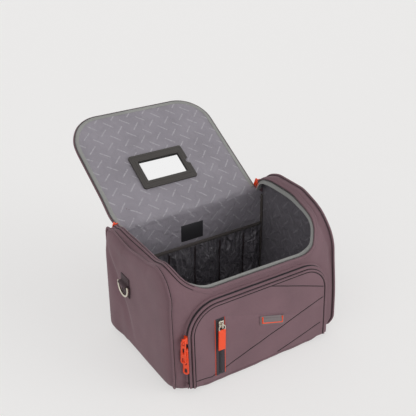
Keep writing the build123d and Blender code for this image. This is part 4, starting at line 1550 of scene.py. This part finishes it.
class CASE_OT_sliders(bpy.types.Operator):
    """Finishes the sliders and their pulls"""

    bl_idname = "case.sliders"
    bl_label = "Sliders and pulls"

    def execute(self, context):
        hard = (
            ("left_zip_slider", "left_slider"),
            ("right_zip_slider", "right_slider"),
            ("left_zip_pull", "left_pull"),
            ("right_zip_pull", "right_pull"),
            ("upper_pocket_slider", "upper_slider"),
            ("lower_pocket_slider", "lower_slider"),
            ("upper_pocket_pull", "upper_pull"),
            ("lower_pocket_pull", "lower_pull"),
        )
        turn = Matrix.Rotation(math.radians(34), 4, "Z")
        wide = Matrix.Scale(1.2, 4, Vector((0, 1, 0)))
        for node, body in hard:
            piece = soft_edged(node, 0.45 if node.endswith("pull") else 0.5)
            low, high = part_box(node)
            middle = Matrix.Translation((low + high) / 2)
            if node.startswith("left"):
                piece.data.transform(Matrix.Translation(Vector((-1.0, 0.5, -5.5)) * MM))
            elif node.startswith("right"):
                piece.data.transform(Matrix.Translation(Vector((2.0, -0.8, 1.5)) * MM))
            elif node.endswith("pull"):
                piece.data.transform(middle @ turn @ wide @ middle.inverted())
            if node.endswith("zip_slider"):
                piece.data.transform(middle @ Matrix.Scale(1.15, 4) @ middle.inverted())
            dress(piece, orange_plastic(), body, [node])
        slider = soft_edged("small_slider", 0.45)
        dress(slider, bright_metal(), "small_zip_slider", ["small_slider"])
        ring = soft_edged("small_pull_ring", 0.0)
        dress(ring, bright_metal(), "small_pull", ["small_pull_ring"])
        low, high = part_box("small_pull_ribbon")
        y = (low.y + high.y) / 2 / MM
        top, bottom = high.z / MM, low.z / MM

        def folded(a, b):
            x = SMALL_ZIP_X + 11.6 * (a - 0.5)
            angle = b * 2 * math.pi
            fold = math.copysign(abs(math.cos(angle)) ** 0.35, math.cos(angle))
            z = (top + bottom) / 2 + (top - bottom) / 2 * fold
            depth = 1.15 * math.copysign(abs(math.sin(angle)) ** 0.3, math.sin(angle))
            return (x, y + depth, z), (x, b * 76)

        ribbon_heart = (SMALL_ZIP_X, y, (top + bottom) / 2)
        ribbon = cloth("folded_ribbon", 12, 60, folded, ribbon_heart, True, 0.6, closed=True)
        dress(ribbon, orange_ribbon(), "small_pull", ["small_pull_ribbon"], angle=50)
        return {"FINISHED"}


class CASE_OT_rings(bpy.types.Operator):
    """Finishes the webbing tabs and the D-shaped strap rings"""

    bl_idname = "case.rings"
    bl_label = "Strap rings"

    def execute(self, context):
        tabs = soft_edged("ring_tabs", 0.5, 2, "ring_webbing")
        dress(tabs, dark_webbing(), "case", ["ring_tabs"])
        rows = []
        for side in (-1, 1):
            x = side * 161.75
            # A box with a cross in it, as webbing is sewn down
            corners = ((18, 109), (38, 109), (38, 121), (18, 121), (18, 109), (38, 121))
            rows.append([(x, y, z) for y, z in corners])
            rows.append([(x, 18, 121), (x, 38, 109)])
        sewn = stitches("ring_tab_stitches", rows, lambda p: Vector((math.copysign(1, p.x), 0, 0)))
        dress(sewn, thread_material(), "case")
        for side in ("left", "right"):
            ring = soft_edged(side + "_d_ring", 0.0)
            dress(ring, bright_metal(), side + "_ring", [side + "_d_ring"])
        return {"FINISHED"}


def shown_rays(tree):
    """A node that is 1 for what is seen straight, in a gloss or through something clear."""
    rays = add_node(tree, "ShaderNodeLightPath")
    first = add_node(
        tree, "ShaderNodeMath", {0: (rays, "Is Camera Ray"), 1: (rays, "Is Glossy Ray")}, operation="MAXIMUM"
    )
    return add_node(
        tree, "ShaderNodeMath", {0: (first, "Value"), 1: (rays, "Is Transmission Ray")}, operation="MAXIMUM"
    )


class CASE_OT_stage(bpy.types.Operator):
    """Sets the pale floor, the soft lights and the camera"""

    bl_idname = "case.stage"
    bl_label = "Floor, lights and camera"

    def execute(self, context):
        bpy.ops.object.select_all(action="DESELECT")
        bpy.ops.mesh.primitive_plane_add(size=14, location=(0, 0, -0.0006))
        floor = context.object
        floor.name = "pale_floor"
        floor.data.transform(floor.matrix_world)
        floor.matrix_world = Matrix.Identity(4)
        material, tree, surface = new_material("Matt paper, pale grey", Roughness=0.95)
        surface.inputs["Specular IOR Level"].default_value = 0.1
        surface.inputs["Emission Color"].default_value = rgba(colours().floor)
        seen = shown_rays(tree)
        shade = add_node(
            tree,
            "ShaderNodeMix",
            {0: (seen, "Value"), 6: rgba(colours().floor), 7: rgba(colours().floor, 0.5)},
            data_type="RGBA",
        )
        glow = add_node(tree, "ShaderNodeMath", {0: (seen, "Value"), 1: 0.65}, operation="MULTIPLY")
        tree.links.new(shade.outputs[2], surface.inputs["Base Color"])
        tree.links.new(glow.outputs["Value"], surface.inputs["Emission Strength"])
        floor.data.materials.append(material)

        world = bpy.data.worlds.new("Soft studio")
        context.scene.world = world
        world.use_nodes = True
        tree = world.node_tree
        light = tree.nodes["Background"]
        light.inputs["Color"].default_value = (1.0, 1.0, 1.0, 1.0)
        way = add_node(tree, "ShaderNodeTexCoord")
        parts = add_node(tree, "ShaderNodeSeparateXYZ", {"Vector": (way, "Generated")})
        fade = add_node(
            tree,
            "ShaderNodeMapRange",
            {"Value": (parts, "Z"), "From Min": 0.0, "From Max": 1.0, "To Min": 0.73, "To Max": 0.44},
        )
        tree.links.new(fade.outputs["Result"], light.inputs["Strength"])
        pale = add_node(tree, "ShaderNodeBackground", {"Color": rgba(linear("#F6F5F5")), "Strength": 1.0})
        both = add_node(
            tree,
            "ShaderNodeMixShader",
            {0: (shown_rays(tree), "Value"), 1: (light, "Background"), 2: (pale, "Background")},
        )
        tree.links.new(both.outputs["Shader"], tree.nodes["World Output"].inputs["Surface"])

        lamps = (("Front right panel", (0.66, -0.78, 0.26), 1.15), ("Left panel", (-0.8, -0.3, 0.55), 0.42))
        for name, way, strength in lamps:
            lamp = bpy.data.lights.new(name, "SUN")
            lamp.energy = strength
            lamp.angle = math.radians(50)
            holder = bpy.data.objects.new(name, lamp)
            context.collection.objects.link(holder)
            holder.location = Vector(way) * 2
            holder.rotation_euler = Vector(way).to_track_quat("Z", "Y").to_euler()

        lens = bpy.data.cameras.new("Case camera")
        lens.lens = 62.89
        lens.sensor_width = 36.0
        lens.clip_start = 0.05
        lens.clip_end = 60.0
        camera = bpy.data.objects.new("Case camera", lens)
        context.collection.objects.link(camera)
        way = Vector((0.4772, 0.7496, -0.4586)).normalized()
        right = Vector((0.8436, -0.5370, 0.0)).normalized()
        up = right.cross(way)
        turn = Matrix((right, up, -way)).transposed().to_4x4()
        camera.matrix_world = Matrix.Translation((-0.5561, -0.8285, 0.7401)) @ turn
        context.scene.camera = camera
        context.scene.view_settings.view_transform = "Standard"
        return {"FINISHED"}


STEPS = (
    CASE_OT_shell,
    CASE_OT_ends,
    CASE_OT_main_zip,
    CASE_OT_lining,
    CASE_OT_gathered_pockets,
    CASE_OT_lid,
    CASE_OT_mirror,
    CASE_OT_handle,
    CASE_OT_front_pocket,
    CASE_OT_flap_details,
    CASE_OT_sliders,
    CASE_OT_rings,
    CASE_OT_stage,
)


class CASE_PT_sidebar(bpy.types.Panel):
    """Lists the case's sizes, colours and pieces"""

    bl_idname = "CASE_PT_sidebar"
    bl_label = "Cosmetic case"
    bl_space_type = "VIEW_3D"
    bl_region_type = "UI"
    bl_category = "Case"

    def draw(self, context):
        for group in (context.scene.case_sizes, context.scene.case_colours):
            box = self.layout.box()
            for name in group.bl_rna.properties.keys():
                if name not in ("rna_type", "name"):
                    box.prop(group, name)
        column = self.layout.column()
        for step in STEPS:
            column.operator(step.bl_idname)


def register():
    for group in (CaseSizes, CaseColours, *STEPS, CASE_PT_sidebar):
        bpy.utils.register_class(group)
    bpy.types.Scene.case_sizes = PointerProperty(type=CaseSizes)
    bpy.types.Scene.case_colours = PointerProperty(type=CaseColours)


def unregister():
    del bpy.types.Scene.case_colours
    del bpy.types.Scene.case_sizes
    for group in (CASE_PT_sidebar, *reversed(STEPS), CaseColours, CaseSizes):
        bpy.utils.unregister_class(group)


def main():
    register()
    for step in STEPS:
        family, name = step.bl_idname.split(".")
        getattr(getattr(bpy.ops, family), name)()


if __name__ == "__main__":
    main()
